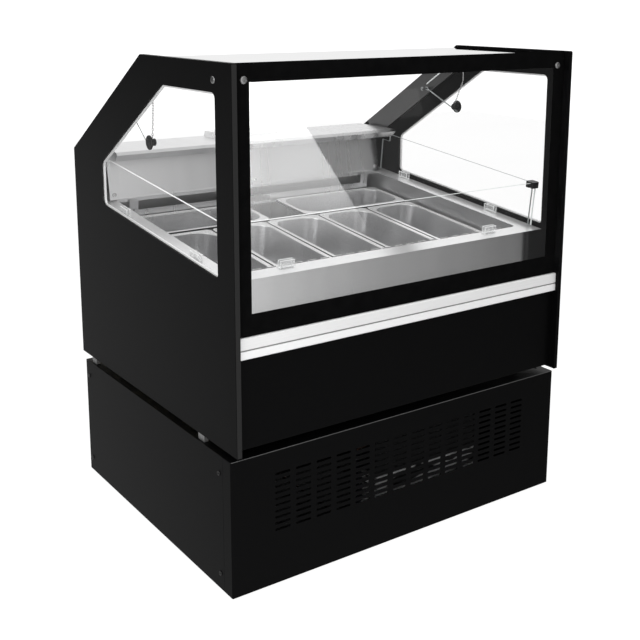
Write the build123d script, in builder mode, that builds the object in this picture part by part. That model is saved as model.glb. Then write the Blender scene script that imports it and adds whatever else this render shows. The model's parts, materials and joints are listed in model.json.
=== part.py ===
from build123d import *
from math import atan2, cos, hypot, radians, sin, tan
import os

os.makedirs("parts", exist_ok=True)

# Frame: millimetres, Z up, X to the right of a customer who faces the case, Y towards the server.
# The origin is on the floor, under the middle of the case.

# Overall sizes
case_width = 970.0
case_depth = 840.0
case_height = 1164.0

# Plinth that holds the cooling machine
foot_height = 6.0
base_height = 318.0
base_front_setback = 20.5
base_overhang = 5.0
base_rear_setback = 31.0
neck_gap = 15.0
sheet = 1.5
flange = 20.0
floor_plate = 2.0
grille_return = 35.0
fold_radius = 3.0
seam = 0.6
fit_gap = 0.3
post_size = 30.0
post_inset = 62.0
slot_columns = 14
slot_rows = 10
slot_length = 40.0
slot_height = 5.5
slot_pitch_x = 55.3
slot_pitch_z = 14.7
slot_centre_rise = 196.0
pipe_port = 46.0
foot_pad_diameter = 40.0
foot_pad_height = 4.5
foot_collar_diameter = 22.0
foot_stud_diameter = 10.0
foot_stud_length = 24.0
stud_clearance = 0.4
spacer_length = 28.0
spacer_width = 10.0
spacer_front_inset = 140.0
spacer_rear_inset = 44.0

# Screws with round heads
screw_head_diameter = 10.0
screw_head_height = 2.2
screw_shank_diameter = 4.0
screw_shank_length = 7.0
screw_clearance = 0.2
side_screw_rise = 38.0
side_screw_drop = 42.0
side_screw_inset = 16.0

# Cooling machine
compressor_x = -235.0
compressor_rear_gap = 239.0
compressor_diameter = 160.0
compressor_height = 178.0
compressor_plate = (210.0, 130.0, 4.0)
compressor_foot_diameter = 26.0
compressor_foot_height = 12.0
compressor_foot_inset = 17.0
compressor_top_radius = 48.0
compressor_bottom_radius = 19.0
compressor_stub_drop = 53.0
stub_diameter = 14.0
stub_length = 18.0
coil_x = 110.0
coil_width = 320.0
coil_height = 232.0
coil_depth = 52.0
coil_gap_to_grille = 62.0
coil_end_plate = 3.0
coil_end_lip = 3.0
coil_bend_length = 36.0
coil_bend_rows = 6
coil_tube_diameter = 9.0
shroud_depth = 44.0
shroud_lip = 2.0
machine_fan_diameter = 196.0
fan_tip_gap = 6.0
fan_hub_diameter = 58.0
fan_hub_length = 26.0
fan_blade_count = 5
fan_blade_angle = 32.0
fan_blade_thickness = 2.5
fan_blade_root = 4.0
fan_blade_chord = 44.0
motor_diameter = 84.0
motor_length = 62.0
motor_gap = 4.0
motor_edge = 10.0
motor_arm_width = 16.0
motor_arm_thickness = 3.0
shaft_diameter = 8.0
shaft_clearance = 0.05
shaft_length = 24.0
tray_width = 300.0
tray_depth = 150.0
tray_height = 42.0
tray_x = 110.0
tray_rear_gap = 204.0
suction_diameter = 12.0
liquid_diameter = 8.0
port_offset = 9.0
pipe_run = 38.0
pipe_bend = 24.0
gland_inset = 155.0
gland_rise = 90.0
gland_diameter = 24.0
gland_bore = 11.0
gland_thread_diameter = 18.0
gland_head_length = 16.0
gland_nut_length = 6.0
gland_nut_thickness = 3.0
gland_tail = 6.0
switch_inset = 85.0
switch_drop = 26.0
switch_width = 15.0
switch_length = 32.0
switch_bezel = 2.5
switch_depth = 20.0
switch_flange = 2.0
switch_edge = 1.5
switch_back = 3.0
rocker_width = 9.0
rocker_length = 22.0
rocker_pin_diameter = 2.6
rocker_pin_length = 12.0
rocker_slope = 9.0
rocker_clearance = 0.4
rocker_end_gap = 2.0
rocker_pin_depth = 3.0
rocker_tail = 4.0
rocker_proud = 1.0

# Side panels with their windows
panel_thickness = 12.0
panel_front_radius = 1.5
panel_corner_radius = 5.0
slope_run = 425.5
slope_rise = 263.0
window_front_inset = 69.0
window_rear_inset = 182.0
window_top_inset = 62.0
window_slope_inset = 109.0
window_sill = 13.0
window_radii = (8.0, 14.0, 2.0, 20.0, 16.0)
window_pane = 3.0
window_inset = 0.5
window_spacer = 4.0
top_ledge_width = 11.0
top_ledge_height = 6.0

# Front of the case
front_panel_recess = 19.0
front_panel_bottom = 7.0
bumper_recess = 9.5
bumper_rise = 210.6
bumper_height = 46.8
bumper_lower_step = 20.0
bumper_groove_depth = 4.0
bumper_edge = 2.0
glass_recess = 16.0
glass_thickness = 6.0
glass_top_drop = 4.0
glass_corner = 4.0
glass_side_gap = 1.5
cap_diameter = 18.0
cap_height = 3.5
cap_proud = 1.5
cap_edge = 1.0
cap_inset = 24.0
cap_drop = 35.0
bolt_diameter = 8.0
pivot_setback = 75.0
pivot_drop = 37.0
arm_thickness = 4.0
arm_height = 32.0
arm_flange = 32.0
arm_side_gap = 2.5
pivot_clearance = 0.05

# Glass roof
roof_thickness = 6.0
roof_drop = 6.0
roof_front_gap = 18.0
roof_notch_width = 15.0
roof_notch_reach = 63.0
roof_rear_gap = 8.0

# Cold tank under the tilted stainless deck
deck_tilt = 6.0
rim_front_setback = 66.0
rim_front_rise = 364.0
rim_front_width = 45.6
rim_side_width = 49.0
tank_floor_rise = 86.0
tank_rear_wall = 35.0
tank_corner = 14.0
port_x = -330.0
port_rear_gap = 40.0
foam_floor_gap = 2.0
apron_gap = 3.6
pan_drop = 44.6
pan_length = 360.0
pan_width = 165.0
pan_depth = 120.0
pan_sheet = 1.5
pan_flange = 12.0
pan_lip = 5.0
pan_corner = 46.0
pan_rim_radius = 3.0
pan_flange_corner = 16.0
pan_bottom_radius = 16.0
pan_taper = 5.0
pan_gap = 1.0
front_row_start = 108.0
front_row_count = 5
row_gap = 8.0
frame_thickness = 4.0
frame_ledge = 9.0
frame_side_ledge = 4.0
frame_front = 95.0
frame_under_housing = 28.0
rear_plate_gap = 4.0
rear_plate_height = 21.5
rear_plate_thickness = 2.0
bracket_side_gap = 33.0
bracket_width = 25.0
bracket_hole = 5.0
bracket_hole_drop = 28.0
comb_height = 26.0
comb_thickness = 2.0
comb_pitch = 37.0
comb_notch_width = 13.0
comb_notch_depth = 16.0

# Cold air machine behind the pans
evaporator_width = 760.0
evaporator_height = 210.0
evaporator_depth = 58.0
evaporator_rear_gap = 12.0
evaporator_foot = 16.0
fan_plate_gap = 23.0
cold_fan_x = 205.0
cold_fan_rise = 120.0
cold_fan_diameter = 124.0
cold_hub_diameter = 40.0
cold_hub_length = 20.0
cold_blade_chord = 26.0
cold_motor_diameter = 56.0
cold_motor_length = 30.0

# Stainless housing and worktop on the server side
housing_side_gap = 32.0
housing_foot_inset = 124.0
housing_hem_reach = 2.0
housing_hem_height = 5.0
housing_lean = 20.0
housing_skirt = 8.0
worktop_rise = 6.0
worktop_side_gap = 25.0
worktop_front_inset = 187.0
lip_reach = 7.0
lip_front_drop = 7.0
lip_return = 8.0
lip_drop = 23.0
control_width = 216.0
control_depth = 50.0
control_height = 18.0
control_front_inset = 69.0
control_slope = 8.0
control_edge = 3.0
display_width = 72.0
display_depth = 10.0
display_corner = 1.5
display_thickness = 2.0
housing_screw_inset = 13.0
housing_screw_rise = 8.0

# Glass guard that stands on the deck
guard_thickness = 5.0
guard_height = 118.0
guard_lift = 3.0
guard_front_inset = 31.0
guard_side_gap = 17.0
guard_past_housing = 10.5
guard_overhang = 5.5
guard_notch_length = 34.0
guard_notch_drop = 21.0
clip_length = 38.0
clip_height = 20.0
clip_wall = 4.0
clip_slack = 0.3
clip_left_inset = 157.0
clip_right_inset = 143.0
clip_front_inset = 123.0
clip_rear_inset = 136.5
clip_right_setback = 22.0
corner_size = 24.0
corner_setback = 8.0
corner_height = 13.0
corner_cap = 3.0
corner_edge = 2.5

# Clear screen and flap behind the rear slope
rail_outer_inset = 2.0
rail_inner_inset = 64.0
rail_lip = 5.0
rail_start = 22.0
rail_foot_gap = 30.0
screen_inset = 35.0
screen_start = 12.0
screen_thickness = 4.0
hinge_along = 164.0
hinge_inset = 49.0
hinge_pin_diameter = 5.0
hinge_pin_length = 24.0
hinge_boss_diameter = 11.0
flap_length = 146.0
flap_thickness = 4.0
flap_side_gap = 7.0
flap_sag_left = 38.0
flap_sag_right = 22.5
knob_radius_on_flap = 136.0
knob_diameter = 34.0
knob_thickness = 3.0
knob_edge = 1.0
knob_hub_diameter = 17.0
knob_hub_length = 13.0
knob_seat_gap = 0.7
hook_setback = 34.5
hook_depth = 72.0
hook_drop = 25.0
hook_standoff = 2.0
hook_wire = 3.0
chain_diameter = 4.0
chain_slack = 1.2

# Places that follow from the sizes above
half_width = case_width / 2
base_half = half_width + base_overhang
inner_half = half_width - panel_thickness
front_y = -case_depth / 2
rear_y = case_depth / 2
base_top = foot_height + base_height
base_front = front_y + base_front_setback
base_rear = rear_y - base_rear_setback
floor_top = foot_height + sheet + floor_plate
body_bottom = base_top + neck_gap
slope_top_y = rear_y - slope_run
slope_bottom = case_height - slope_rise
slope_angle = atan2(slope_rise, slope_run)
slope_length = hypot(slope_rise, slope_run)
rim_front_y = front_y + rim_front_setback
rim_front_height = body_bottom + rim_front_rise
tank_half = inner_half - rim_side_width
tank_floor = body_bottom + tank_floor_rise
tank_rear_y = rear_y - tank_rear_wall
port_y = tank_rear_y - port_rear_gap
tilt = radians(deck_tilt)
deck = Plane(origin=(0, rim_front_y, rim_front_height), x_dir=(1, 0, 0), z_dir=(0, -sin(tilt), cos(tilt)))
bumper_bottom = body_bottom + bumper_rise
bumper_groove = bumper_bottom + bumper_lower_step
bumper_top = bumper_bottom + bumper_height
apron_bottom = bumper_top + apron_gap
glass_front_y = front_y + glass_recess
glass_back_y = glass_front_y + glass_thickness
glass_top = case_height - glass_top_drop
pivot_y = front_y + pivot_setback
pivot_height = case_height - pivot_drop
cap_x = inner_half - cap_inset
cap_z = case_height - cap_drop
worktop_height = slope_bottom + worktop_rise
housing_foot_y = rear_y - housing_foot_inset
housing_hem_y = housing_foot_y + housing_hem_reach
housing_top_y = housing_hem_y + housing_lean
hook_y = slope_top_y - hook_setback
hook_height = case_height - hook_depth


def deck_height(y):
    """Height of the tilted deck's top face at a distance Y."""
    return rim_front_height + (y - rim_front_y) * tan(tilt)


def deck_point(along, rise):
    """Y and Z of a point so far up the tilted deck and so high above it."""
    y = rim_front_y + along * cos(tilt) - rise * sin(tilt)
    z = rim_front_height + along * sin(tilt) + rise * cos(tilt)
    return (y, z)


def slope_point(along, inset):
    """Y and Z of a point so far down the rear slope and so deep under it."""
    y = slope_top_y + along * cos(slope_angle) - inset * sin(slope_angle)
    z = case_height - along * sin(slope_angle) - inset * cos(slope_angle)
    return (y, z)


def save(builder, name):
    """Label a finished piece and write it to its own file."""
    builder.part.label = name
    export_step(builder.part, f"parts/{name}.step")


def block(x, y, z, mode=Mode.ADD):
    """A box between two limits on each axis."""
    with Locations(((x[0] + x[1]) / 2, (y[0] + y[1]) / 2, (z[0] + z[1]) / 2)):
        Box(abs(x[1] - x[0]), abs(y[1] - y[0]), abs(z[1] - z[0]), mode=mode)


def rod(start, along, diameter, length, mode=Mode.ADD):
    """A cylinder that starts at a point and runs along a direction."""
    with Locations(Plane(origin=start, z_dir=along)):
        Cylinder(diameter / 2, length, align=(Align.CENTER, Align.CENTER, Align.MIN), mode=mode)


def outline(plane, points):
    """A flat face inside a closed run of straight lines."""
    with BuildSketch(plane) as sketch:
        with BuildLine():
            Polyline(*points, close=True)
        make_face()
    return sketch.sketch


def folded(plane, points, thickness):
    """The cut face of a sheet folded along a run of straight lines."""
    with BuildSketch(plane) as sketch:
        with BuildLine():
            Polyline(*points)
            offset(amount=thickness, side=Side.LEFT)
        make_face()
    return sketch.sketch


def slots(plane):
    """The field of air slots in a grille."""
    with BuildSketch(plane) as sketch:
        with Locations((0, foot_height + slot_centre_rise)):
            with GridLocations(slot_pitch_x, slot_pitch_z, slot_columns, slot_rows):
                SlotOverall(slot_length, slot_height)
    return sketch.sketch


def round_screw(point, outward):
    """A round screw head on a face, with its shank through the face."""
    inward = tuple(-c for c in outward)
    rod(point, outward, screw_head_diameter, screw_head_height)
    rod(point, inward, screw_shank_diameter, screw_shank_length)


def screw_hole(point, outward):
    """The hole that the shank of a round screw passes through."""
    inward = tuple(-c for c in outward)
    rod(point, inward, screw_shank_diameter + 2 * screw_clearance, screw_shank_length, Mode.SUBTRACT)


# Plinth: welded frame with floor, four posts and top plate
post_x = half_width - post_inset
post_ys = (base_front + post_inset, base_rear - post_inset)
frame_half = base_half - sheet - fit_gap
frame_front_y = base_front + sheet + fit_gap
frame_rear_y = base_rear - sheet - fit_gap
plate_top = base_top - sheet
with BuildPart() as base_frame:
    block((-frame_half, frame_half), (frame_front_y, frame_rear_y), (floor_top - floor_plate, floor_top))
    block((-frame_half, frame_half), (frame_front_y, frame_rear_y), (plate_top - floor_plate, plate_top))
    with GridLocations(2 * post_x, post_ys[1] - post_ys[0], 2, 2):
        with Locations((0, sum(post_ys) / 2, (floor_top + plate_top) / 2)):
            Box(post_size, post_size, plate_top - floor_top)
    for x in (-post_x, post_x):
        for y in post_ys:
            rod((x, y, floor_top - floor_plate), (0, 0, 1), foot_stud_diameter + 2 * stud_clearance,
                foot_stud_length + floor_plate, Mode.SUBTRACT)
    rod((port_x, port_y, plate_top - 2 * floor_plate), (0, 0, 1), pipe_port, 3 * floor_plate, Mode.SUBTRACT)
save(base_frame, "base_frame")

# Plinth: front grille, a tray whose returns wrap both front corners
with BuildPart() as base_front_grille:
    block((-base_half, base_half), (base_front, base_front + grille_return), (foot_height, base_top))
    fillet(base_front_grille.edges().filter_by(Axis.Z).group_by(Axis.Y)[0], fold_radius)
    fillet(base_front_grille.edges().filter_by(Axis.X).group_by(Axis.Y)[0].sort_by(Axis.Z)[-1], sheet)
    block((sheet - base_half, base_half - sheet), (base_front + sheet, base_front + grille_return),
          (foot_height + sheet, base_top - sheet), Mode.SUBTRACT)
    extrude(slots(Plane.XZ.offset(-base_front)), amount=-2 * sheet, mode=Mode.SUBTRACT)
save(base_front_grille, "base_front_grille")

# Plinth: flat side panels with a flange at the top and bottom
side_front_y = base_front + grille_return + seam
side_rear_y = base_rear - sheet - seam
side_screws = [
    (side * base_half, y, z)
    for side in (-1, 1)
    for y in (side_front_y + side_screw_inset, side_rear_y - side_screw_inset)
    for z in (foot_height + side_screw_rise, base_top - side_screw_drop)
]
with BuildPart() as base_side_panels:
    for side in (-1, 1):
        block((side * base_half, side * (base_half - flange)), (side_front_y, side_rear_y),
              (foot_height, base_top))
        block((side * (base_half - sheet), side * (base_half - flange)), (side_front_y, side_rear_y),
              (foot_height + sheet, base_top - sheet), Mode.SUBTRACT)
    for point in side_screws:
        screw_hole(point, (point[0] / base_half, 0, 0))
save(base_side_panels, "base_side_panels")

# Plinth: rear grille between the side panels, with the cable gland and the main switch
switch_x = switch_inset - half_width
switch_z = base_top - switch_drop
gland_x = half_width - gland_inset
gland_z = foot_height + gland_rise
rear_reach = base_half - flange - seam
with BuildPart() as base_rear_grille:
    block((-base_half, base_half), (base_rear - sheet, base_rear), (foot_height, base_top))
    for z in ((foot_height, foot_height + sheet), (base_top - sheet, base_top)):
        block((-rear_reach, rear_reach), (base_rear - flange, base_rear), z)
    extrude(slots(Plane.XZ.offset(-base_rear)), amount=2 * sheet, mode=Mode.SUBTRACT)
    rod((gland_x, base_rear - 2 * sheet, gland_z), (0, 1, 0), gland_thread_diameter + 2 * fit_gap, 3 * sheet,
        Mode.SUBTRACT)
    with Locations((switch_x, base_rear - sheet / 2, switch_z)):
        Box(switch_length - 2 * switch_flange + fit_gap, 4 * sheet, switch_width - 2 * switch_edge + fit_gap,
            mode=Mode.SUBTRACT)
save(base_rear_grille, "base_rear_grille")

# Levelling feet: pad, collar under the floor plate, and a stud that runs up into the post
with BuildPart() as levelling_feet:
    for x in (-post_x, post_x):
        for y in post_ys:
            rod((x, y, 0), (0, 0, 1), foot_pad_diameter, foot_pad_height)
            rod((x, y, foot_pad_height), (0, 0, 1), foot_collar_diameter,
                floor_top - floor_plate - foot_pad_height)
            rod((x, y, floor_top - floor_plate), (0, 0, 1), foot_stud_diameter, foot_stud_length)
save(levelling_feet, "levelling_feet")

# Spacer blocks that carry the body above the plinth
spacer_x = half_width - panel_thickness / 2
spacer_front_y = base_front + spacer_front_inset
spacer_rear_y = base_rear - spacer_rear_inset
with BuildPart() as neck_spacers:
    with GridLocations(2 * spacer_x, spacer_rear_y - spacer_front_y, 2, 2):
        with Locations((0, (spacer_front_y + spacer_rear_y) / 2, (base_top + body_bottom) / 2)):
            Box(spacer_width, spacer_length, neck_gap)
save(neck_spacers, "neck_spacers")

# Hermetic compressor on its foot plate, with a suction and a discharge stub
compressor_y = base_rear - compressor_rear_gap
can_bottom = floor_top + compressor_foot_height + compressor_plate[2]
can_top = can_bottom + compressor_height
stub_height = can_top - compressor_stub_drop
stub_reach = compressor_diameter / 2 + stub_length
foot_span_x = compressor_plate[0] - 2 * compressor_foot_inset
foot_span_y = compressor_plate[1] - 2 * compressor_foot_inset
with BuildPart() as compressor:
    with Locations((compressor_x, compressor_y, can_bottom + compressor_height / 2)):
        Cylinder(compressor_diameter / 2, compressor_height)
    fillet(compressor.edges().sort_by(Axis.Z)[-1], compressor_top_radius)
    fillet(compressor.edges().sort_by(Axis.Z)[0], compressor_bottom_radius)
    with Locations((compressor_x, compressor_y, can_bottom - compressor_plate[2] / 2)):
        Box(*compressor_plate)
    with Locations((compressor_x, compressor_y, floor_top + compressor_foot_height / 2)):
        with GridLocations(foot_span_x, foot_span_y, 2, 2):
            Cylinder(compressor_foot_diameter / 2, compressor_foot_height)
    for outward in ((0, 1, 0), (1, 0, 0)):
        rod((compressor_x, compressor_y, stub_height), outward, stub_diameter, stub_reach)
save(compressor, "compressor")

# Condenser coil behind the front grille, with the tube bends at its ends
coil_front_y = base_front + coil_gap_to_grille
coil_back_y = coil_front_y + coil_depth
coil_mid_z = floor_top + coil_height / 2
with BuildPart() as condenser_coil:
    block((coil_x - coil_width / 2, coil_x + coil_width / 2), (coil_front_y, coil_back_y),
          (floor_top, floor_top + coil_height))
    for side in (-1, 1):
        end_x = coil_x + side * coil_width / 2
        block((end_x, end_x + side * coil_end_plate), (coil_front_y - coil_end_lip, coil_back_y),
              (floor_top, floor_top + coil_height))
        with BuildSketch(Plane.YZ.offset(end_x + side * coil_end_plate)):
            with Locations(((coil_front_y + coil_back_y) / 2, coil_mid_z)):
                with GridLocations(0, coil_height / coil_bend_rows, 1, coil_bend_rows):
                    SlotOverall(coil_bend_length, coil_tube_diameter)
        extrude(amount=side * coil_tube_diameter)
save(condenser_coil, "condenser_coil")

# Fan shroud on the back of the coil
fan_z = coil_mid_z
shroud_back_y = coil_back_y + shroud_depth
with BuildPart() as condenser_shroud:
    block((coil_x - coil_width / 2, coil_x + coil_width / 2), (coil_back_y, shroud_back_y),
          (floor_top, floor_top + coil_height))
    block((coil_x - coil_width / 2 + shroud_lip, coil_x + coil_width / 2 - shroud_lip),
          (coil_back_y, shroud_back_y - shroud_lip),
          (floor_top + shroud_lip, floor_top + coil_height - shroud_lip), Mode.SUBTRACT)
    rod((coil_x, shroud_back_y - 2 * shroud_lip, fan_z), (0, 1, 0), machine_fan_diameter + 2 * fan_tip_gap,
        3 * shroud_lip, Mode.SUBTRACT)
save(condenser_shroud, "condenser_shroud")


def fan_wheel(place, diameter, hub_diameter, hub_length, chord, bore):
    """A hub with leaning blades, turning about the place's Z axis."""
    blade_span = (diameter - hub_diameter) / 2 + fan_blade_root
    with BuildPart(place) as wheel:
        Cylinder(hub_diameter / 2, hub_length)
        with PolarLocations((hub_diameter + blade_span - fan_blade_root) / 2, fan_blade_count):
            Box(blade_span, fan_blade_thickness, chord, rotation=(fan_blade_angle, 0, 0))
        Cylinder(diameter / 2, chord * 2, mode=Mode.INTERSECT)
        Cylinder(bore / 2, hub_length * 2, mode=Mode.SUBTRACT)
    return wheel


# Condenser fan in the shroud's ring, and its motor on two arms behind it
shaft_bore = shaft_diameter + 2 * shaft_clearance
fan_y = shroud_back_y - shroud_lip / 2
fan_place = Plane(origin=(coil_x, fan_y, fan_z), x_dir=(1, 0, 0), z_dir=(0, 1, 0))
condenser_fan = fan_wheel(fan_place, machine_fan_diameter, fan_hub_diameter, fan_hub_length,
                          fan_blade_chord, shaft_bore)
save(condenser_fan, "condenser_fan")
motor_front_y = fan_y + max(fan_hub_length, fan_blade_chord) / 2 + motor_gap
arm_reach = coil_height / 2 - shroud_lip
with BuildPart() as condenser_fan_motor:
    rod((coil_x, motor_front_y, fan_z), (0, 1, 0), motor_diameter, motor_length)
    fillet(condenser_fan_motor.edges().sort_by(Axis.Y)[-1], motor_edge)
    rod((coil_x, motor_front_y, fan_z), (0, -1, 0), shaft_diameter, shaft_length + motor_gap)
    for side in (-1, 1):
        tip = fan_z + side * arm_reach
        block((coil_x - motor_arm_width / 2, coil_x + motor_arm_width / 2),
              (motor_front_y, motor_front_y + motor_arm_thickness), (fan_z, tip))
        block((coil_x - motor_arm_width / 2, coil_x + motor_arm_width / 2),
              (shroud_back_y, motor_front_y + motor_arm_thickness), (tip - side * motor_arm_thickness, tip))
save(condenser_fan_motor, "condenser_fan_motor")

# Tray that evaporates the defrost water
tray_y = base_rear - tray_rear_gap
with BuildPart() as drip_tray:
    with Locations((tray_x, tray_y, floor_top + tray_height / 2)):
        Box(tray_width, tray_depth, tray_height)
    fillet(drip_tray.edges().filter_by(Axis.Z), 2 * fold_radius)
    offset(amount=-sheet, openings=drip_tray.faces().sort_by(Axis.Z)[-1])
save(drip_tray, "drip_tray")

# Cable gland in the rear grille
with BuildPart() as cable_gland:
    with BuildSketch(Plane.XZ.offset(-base_rear)):
        with Locations((gland_x, gland_z)):
            RegularPolygon(gland_diameter / 2, 6)
    extrude(amount=-gland_nut_length)
    rod((gland_x, base_rear, gland_z), (0, 1, 0), gland_thread_diameter, gland_head_length)
    rod((gland_x, base_rear, gland_z), (0, -1, 0), gland_thread_diameter, gland_tail)
    with BuildSketch(Plane.XZ.offset(-(base_rear - sheet))):
        with Locations((gland_x, gland_z)):
            RegularPolygon(gland_diameter / 2, 6)
    extrude(amount=gland_nut_thickness)
    rod((gland_x, base_rear - gland_tail, gland_z), (0, 1, 0), gland_bore, gland_tail + gland_head_length,
        Mode.SUBTRACT)
save(cable_gland, "cable_gland")

# Main switch: a bezel and body in the rear grille, with a rocker on a cross pin
rocker_pivot_y = base_rear - rocker_pin_depth
with BuildPart() as switch_housing:
    block((switch_x - switch_length / 2, switch_x + switch_length / 2), (base_rear, base_rear + switch_bezel),
          (switch_z - switch_width / 2, switch_z + switch_width / 2))
    fillet(switch_housing.edges().filter_by(Axis.Y), switch_edge)
    block((switch_x - switch_length / 2 + switch_flange, switch_x + switch_length / 2 - switch_flange),
          (base_rear - switch_depth, base_rear),
          (switch_z - switch_width / 2 + switch_edge, switch_z + switch_width / 2 - switch_edge))
    cavity_length = rocker_length + 2 * rocker_end_gap
    cavity_width = rocker_width + 2 * rocker_clearance
    block((switch_x - cavity_length / 2, switch_x + cavity_length / 2),
          (base_rear - switch_depth + switch_back, base_rear + switch_bezel),
          (switch_z - cavity_width / 2, switch_z + cavity_width / 2), Mode.SUBTRACT)
    rod((switch_x, rocker_pivot_y, switch_z - rocker_pin_length / 2 - pivot_clearance), (0, 0, 1),
        rocker_pin_diameter + 2 * pivot_clearance, rocker_pin_length + 2 * pivot_clearance, Mode.SUBTRACT)
save(switch_housing, "switch_housing")
rocker_rise = rocker_length / 2 * tan(radians(rocker_slope))
rocker_face = base_rear + switch_bezel + rocker_proud
with BuildPart() as power_switch:
    rocker_points = [
        (switch_x - rocker_length / 2, rocker_pivot_y - rocker_tail),
        (switch_x + rocker_length / 2, rocker_pivot_y - rocker_tail),
        (switch_x + rocker_length / 2, rocker_face + rocker_rise),
        (switch_x, rocker_face),
        (switch_x - rocker_length / 2, rocker_face),
    ]
    extrude(outline(Plane.XY.offset(switch_z), rocker_points), amount=rocker_width / 2, both=True)
    rod((switch_x, rocker_pivot_y, switch_z - rocker_pin_length / 2), (0, 0, 1), rocker_pin_diameter,
        rocker_pin_length)
save(power_switch, "power_switch")


def window_face(plane, inset):
    """The window's outline on a plane, drawn in by an inset all round."""
    window_front = front_y + window_front_inset
    window_rear = rear_y - window_rear_inset
    window_top = case_height - window_top_inset
    sill_front = deck_height(window_front) + window_sill
    sill_rear = deck_height(window_rear) + window_sill
    top_along = (window_top_inset - window_slope_inset * cos(slope_angle)) / sin(slope_angle)
    slope_start = slope_point(top_along, window_slope_inset)
    slope_end = (window_rear, slope_start[1] - (window_rear - slope_start[0]) * tan(slope_angle))
    corners = [
        (window_front, sill_front),
        (window_front, window_top),
        slope_start,
        slope_end,
        (window_rear, sill_rear),
    ]
    with BuildSketch(plane) as sketch:
        with BuildLine():
            Polyline(*corners, close=True)
        make_face()
        for corner, radius in zip(corners, window_radii):
            fillet(sketch.vertices().sort_by_distance((*corner, 0))[0], radius)
        if inset > 0:
            offset(amount=-inset)
    return sketch.sketch


def side_panel(side):
    """A side panel with its window, the roof ledge and the holes for pivot and hook."""
    outer_x = side * half_width
    start_x = min(outer_x, side * inner_half)
    profile = [
        (front_y, body_bottom),
        (rear_y, body_bottom),
        (rear_y, slope_bottom),
        (slope_top_y, case_height),
        (front_y, case_height),
    ]
    with BuildPart() as panel:
        extrude(outline(Plane.YZ.offset(start_x), profile), amount=panel_thickness)
        crosswise = panel.edges().filter_by(Axis.X)
        fillet(crosswise.group_by(Axis.Y)[0].sort_by(Axis.Z)[-1], panel_corner_radius)
        front_edges = panel.edges().filter_by(Axis.Z).group_by(Axis.Y)[0]
        fillet(front_edges.sort_by_distance((outer_x, front_y, body_bottom))[0], panel_front_radius)
        extrude(window_face(Plane.YZ.offset(start_x), 0), amount=panel_thickness, mode=Mode.SUBTRACT)
        ledge_top = case_height - roof_drop - roof_thickness
        block((side * inner_half, side * (inner_half - top_ledge_width)),
              (pivot_y + roof_notch_reach + fit_gap, slope_top_y - roof_rear_gap),
              (ledge_top - top_ledge_height, ledge_top))
        rod((side * inner_half, pivot_y, pivot_height), (side, 0, 0), bolt_diameter + 2 * fit_gap,
            panel_thickness, Mode.SUBTRACT)
        rod((outer_x, pivot_y, pivot_height), (-side, 0, 0), cap_diameter + 2 * fit_gap,
            cap_height - cap_proud, Mode.SUBTRACT)
        rod((side * inner_half, hook_y, hook_height), (side, 0, 0), hook_wire + 2 * fit_gap,
            panel_thickness / 2, Mode.SUBTRACT)
    return panel


# Side panels, windows of two panes each, and the bright bar between the panes
for name, side in (("side_panel_left", -1), ("side_panel_right", 1)):
    save(side_panel(side), name)
bar_thickness = panel_thickness - 2 * window_inset - 2 * window_pane
with BuildPart() as side_windows:
    for side in (-1, 1):
        for depth in (window_inset, panel_thickness - window_inset - window_pane):
            start = side * (half_width - depth)
            extrude(window_face(Plane.YZ.offset(start), fit_gap), amount=-side * window_pane)
save(side_windows, "side_windows")
with BuildPart() as window_spacers:
    for side in (-1, 1):
        start = side * (half_width - window_inset - window_pane)
        extrude(window_face(Plane.YZ.offset(start), fit_gap), amount=-side * bar_thickness)
        extrude(window_face(Plane.YZ.offset(start), window_spacer), amount=-side * bar_thickness,
                mode=Mode.SUBTRACT)
save(window_spacers, "window_spacers")

# Black front panel, a deep tray that reaches back to the insulated body
front_panel_y = front_y + front_panel_recess
front_panel_half = inner_half - fit_gap
foam_front_y = rim_front_y + sheet
front_panel_z = (body_bottom + front_panel_bottom, bumper_top - 2 * bumper_edge - sheet)
with BuildPart() as front_lower_panel:
    block((-front_panel_half, front_panel_half), (front_panel_y, foam_front_y), front_panel_z)
    fillet(front_lower_panel.edges().filter_by(Axis.X).group_by(Axis.Y)[0].sort_by(Axis.Z)[0], sheet)
    block((sheet - front_panel_half, front_panel_half - sheet), (front_panel_y + sheet, foam_front_y),
          (front_panel_z[0] + sheet, front_panel_z[1] - sheet), Mode.SUBTRACT)
save(front_lower_panel, "front_lower_panel")

# Bumper rail: a two-step aluminium section with a ledge under the glass
bumper_y = front_y + bumper_recess
bumper_profile = [
    (front_panel_y, bumper_bottom),
    (bumper_y + bumper_edge, bumper_bottom),
    (bumper_y, bumper_bottom + bumper_edge),
    (bumper_y, bumper_groove - bumper_edge),
    (bumper_y + bumper_groove_depth, bumper_groove),
    (bumper_y, bumper_groove + bumper_edge),
    (bumper_y, bumper_top - bumper_edge),
    (bumper_y + bumper_edge, bumper_top),
    (glass_back_y + bumper_edge, bumper_top),
    (glass_back_y + bumper_edge, front_panel_z[1]),
    (front_panel_y, front_panel_z[1]),
]
with BuildPart() as bumper_rail:
    extrude(outline(Plane.YZ, bumper_profile), amount=inner_half - fit_gap, both=True)
save(bumper_rail, "bumper_rail")

# Front glass, with a hole for each cap screw
glass_half = inner_half - glass_side_gap
glass_bottom = bumper_top + 2 * fit_gap
with BuildPart() as front_glass:
    block((-glass_half, glass_half), (glass_front_y, glass_back_y), (glass_bottom, glass_top))
    fillet(front_glass.edges().filter_by(Axis.Y), glass_corner)
    for side in (-1, 1):
        rod((side * cap_x, glass_front_y, cap_z), (0, 1, 0), bolt_diameter + 2 * fit_gap, glass_thickness,
            Mode.SUBTRACT)
save(front_glass, "front_glass")

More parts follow.
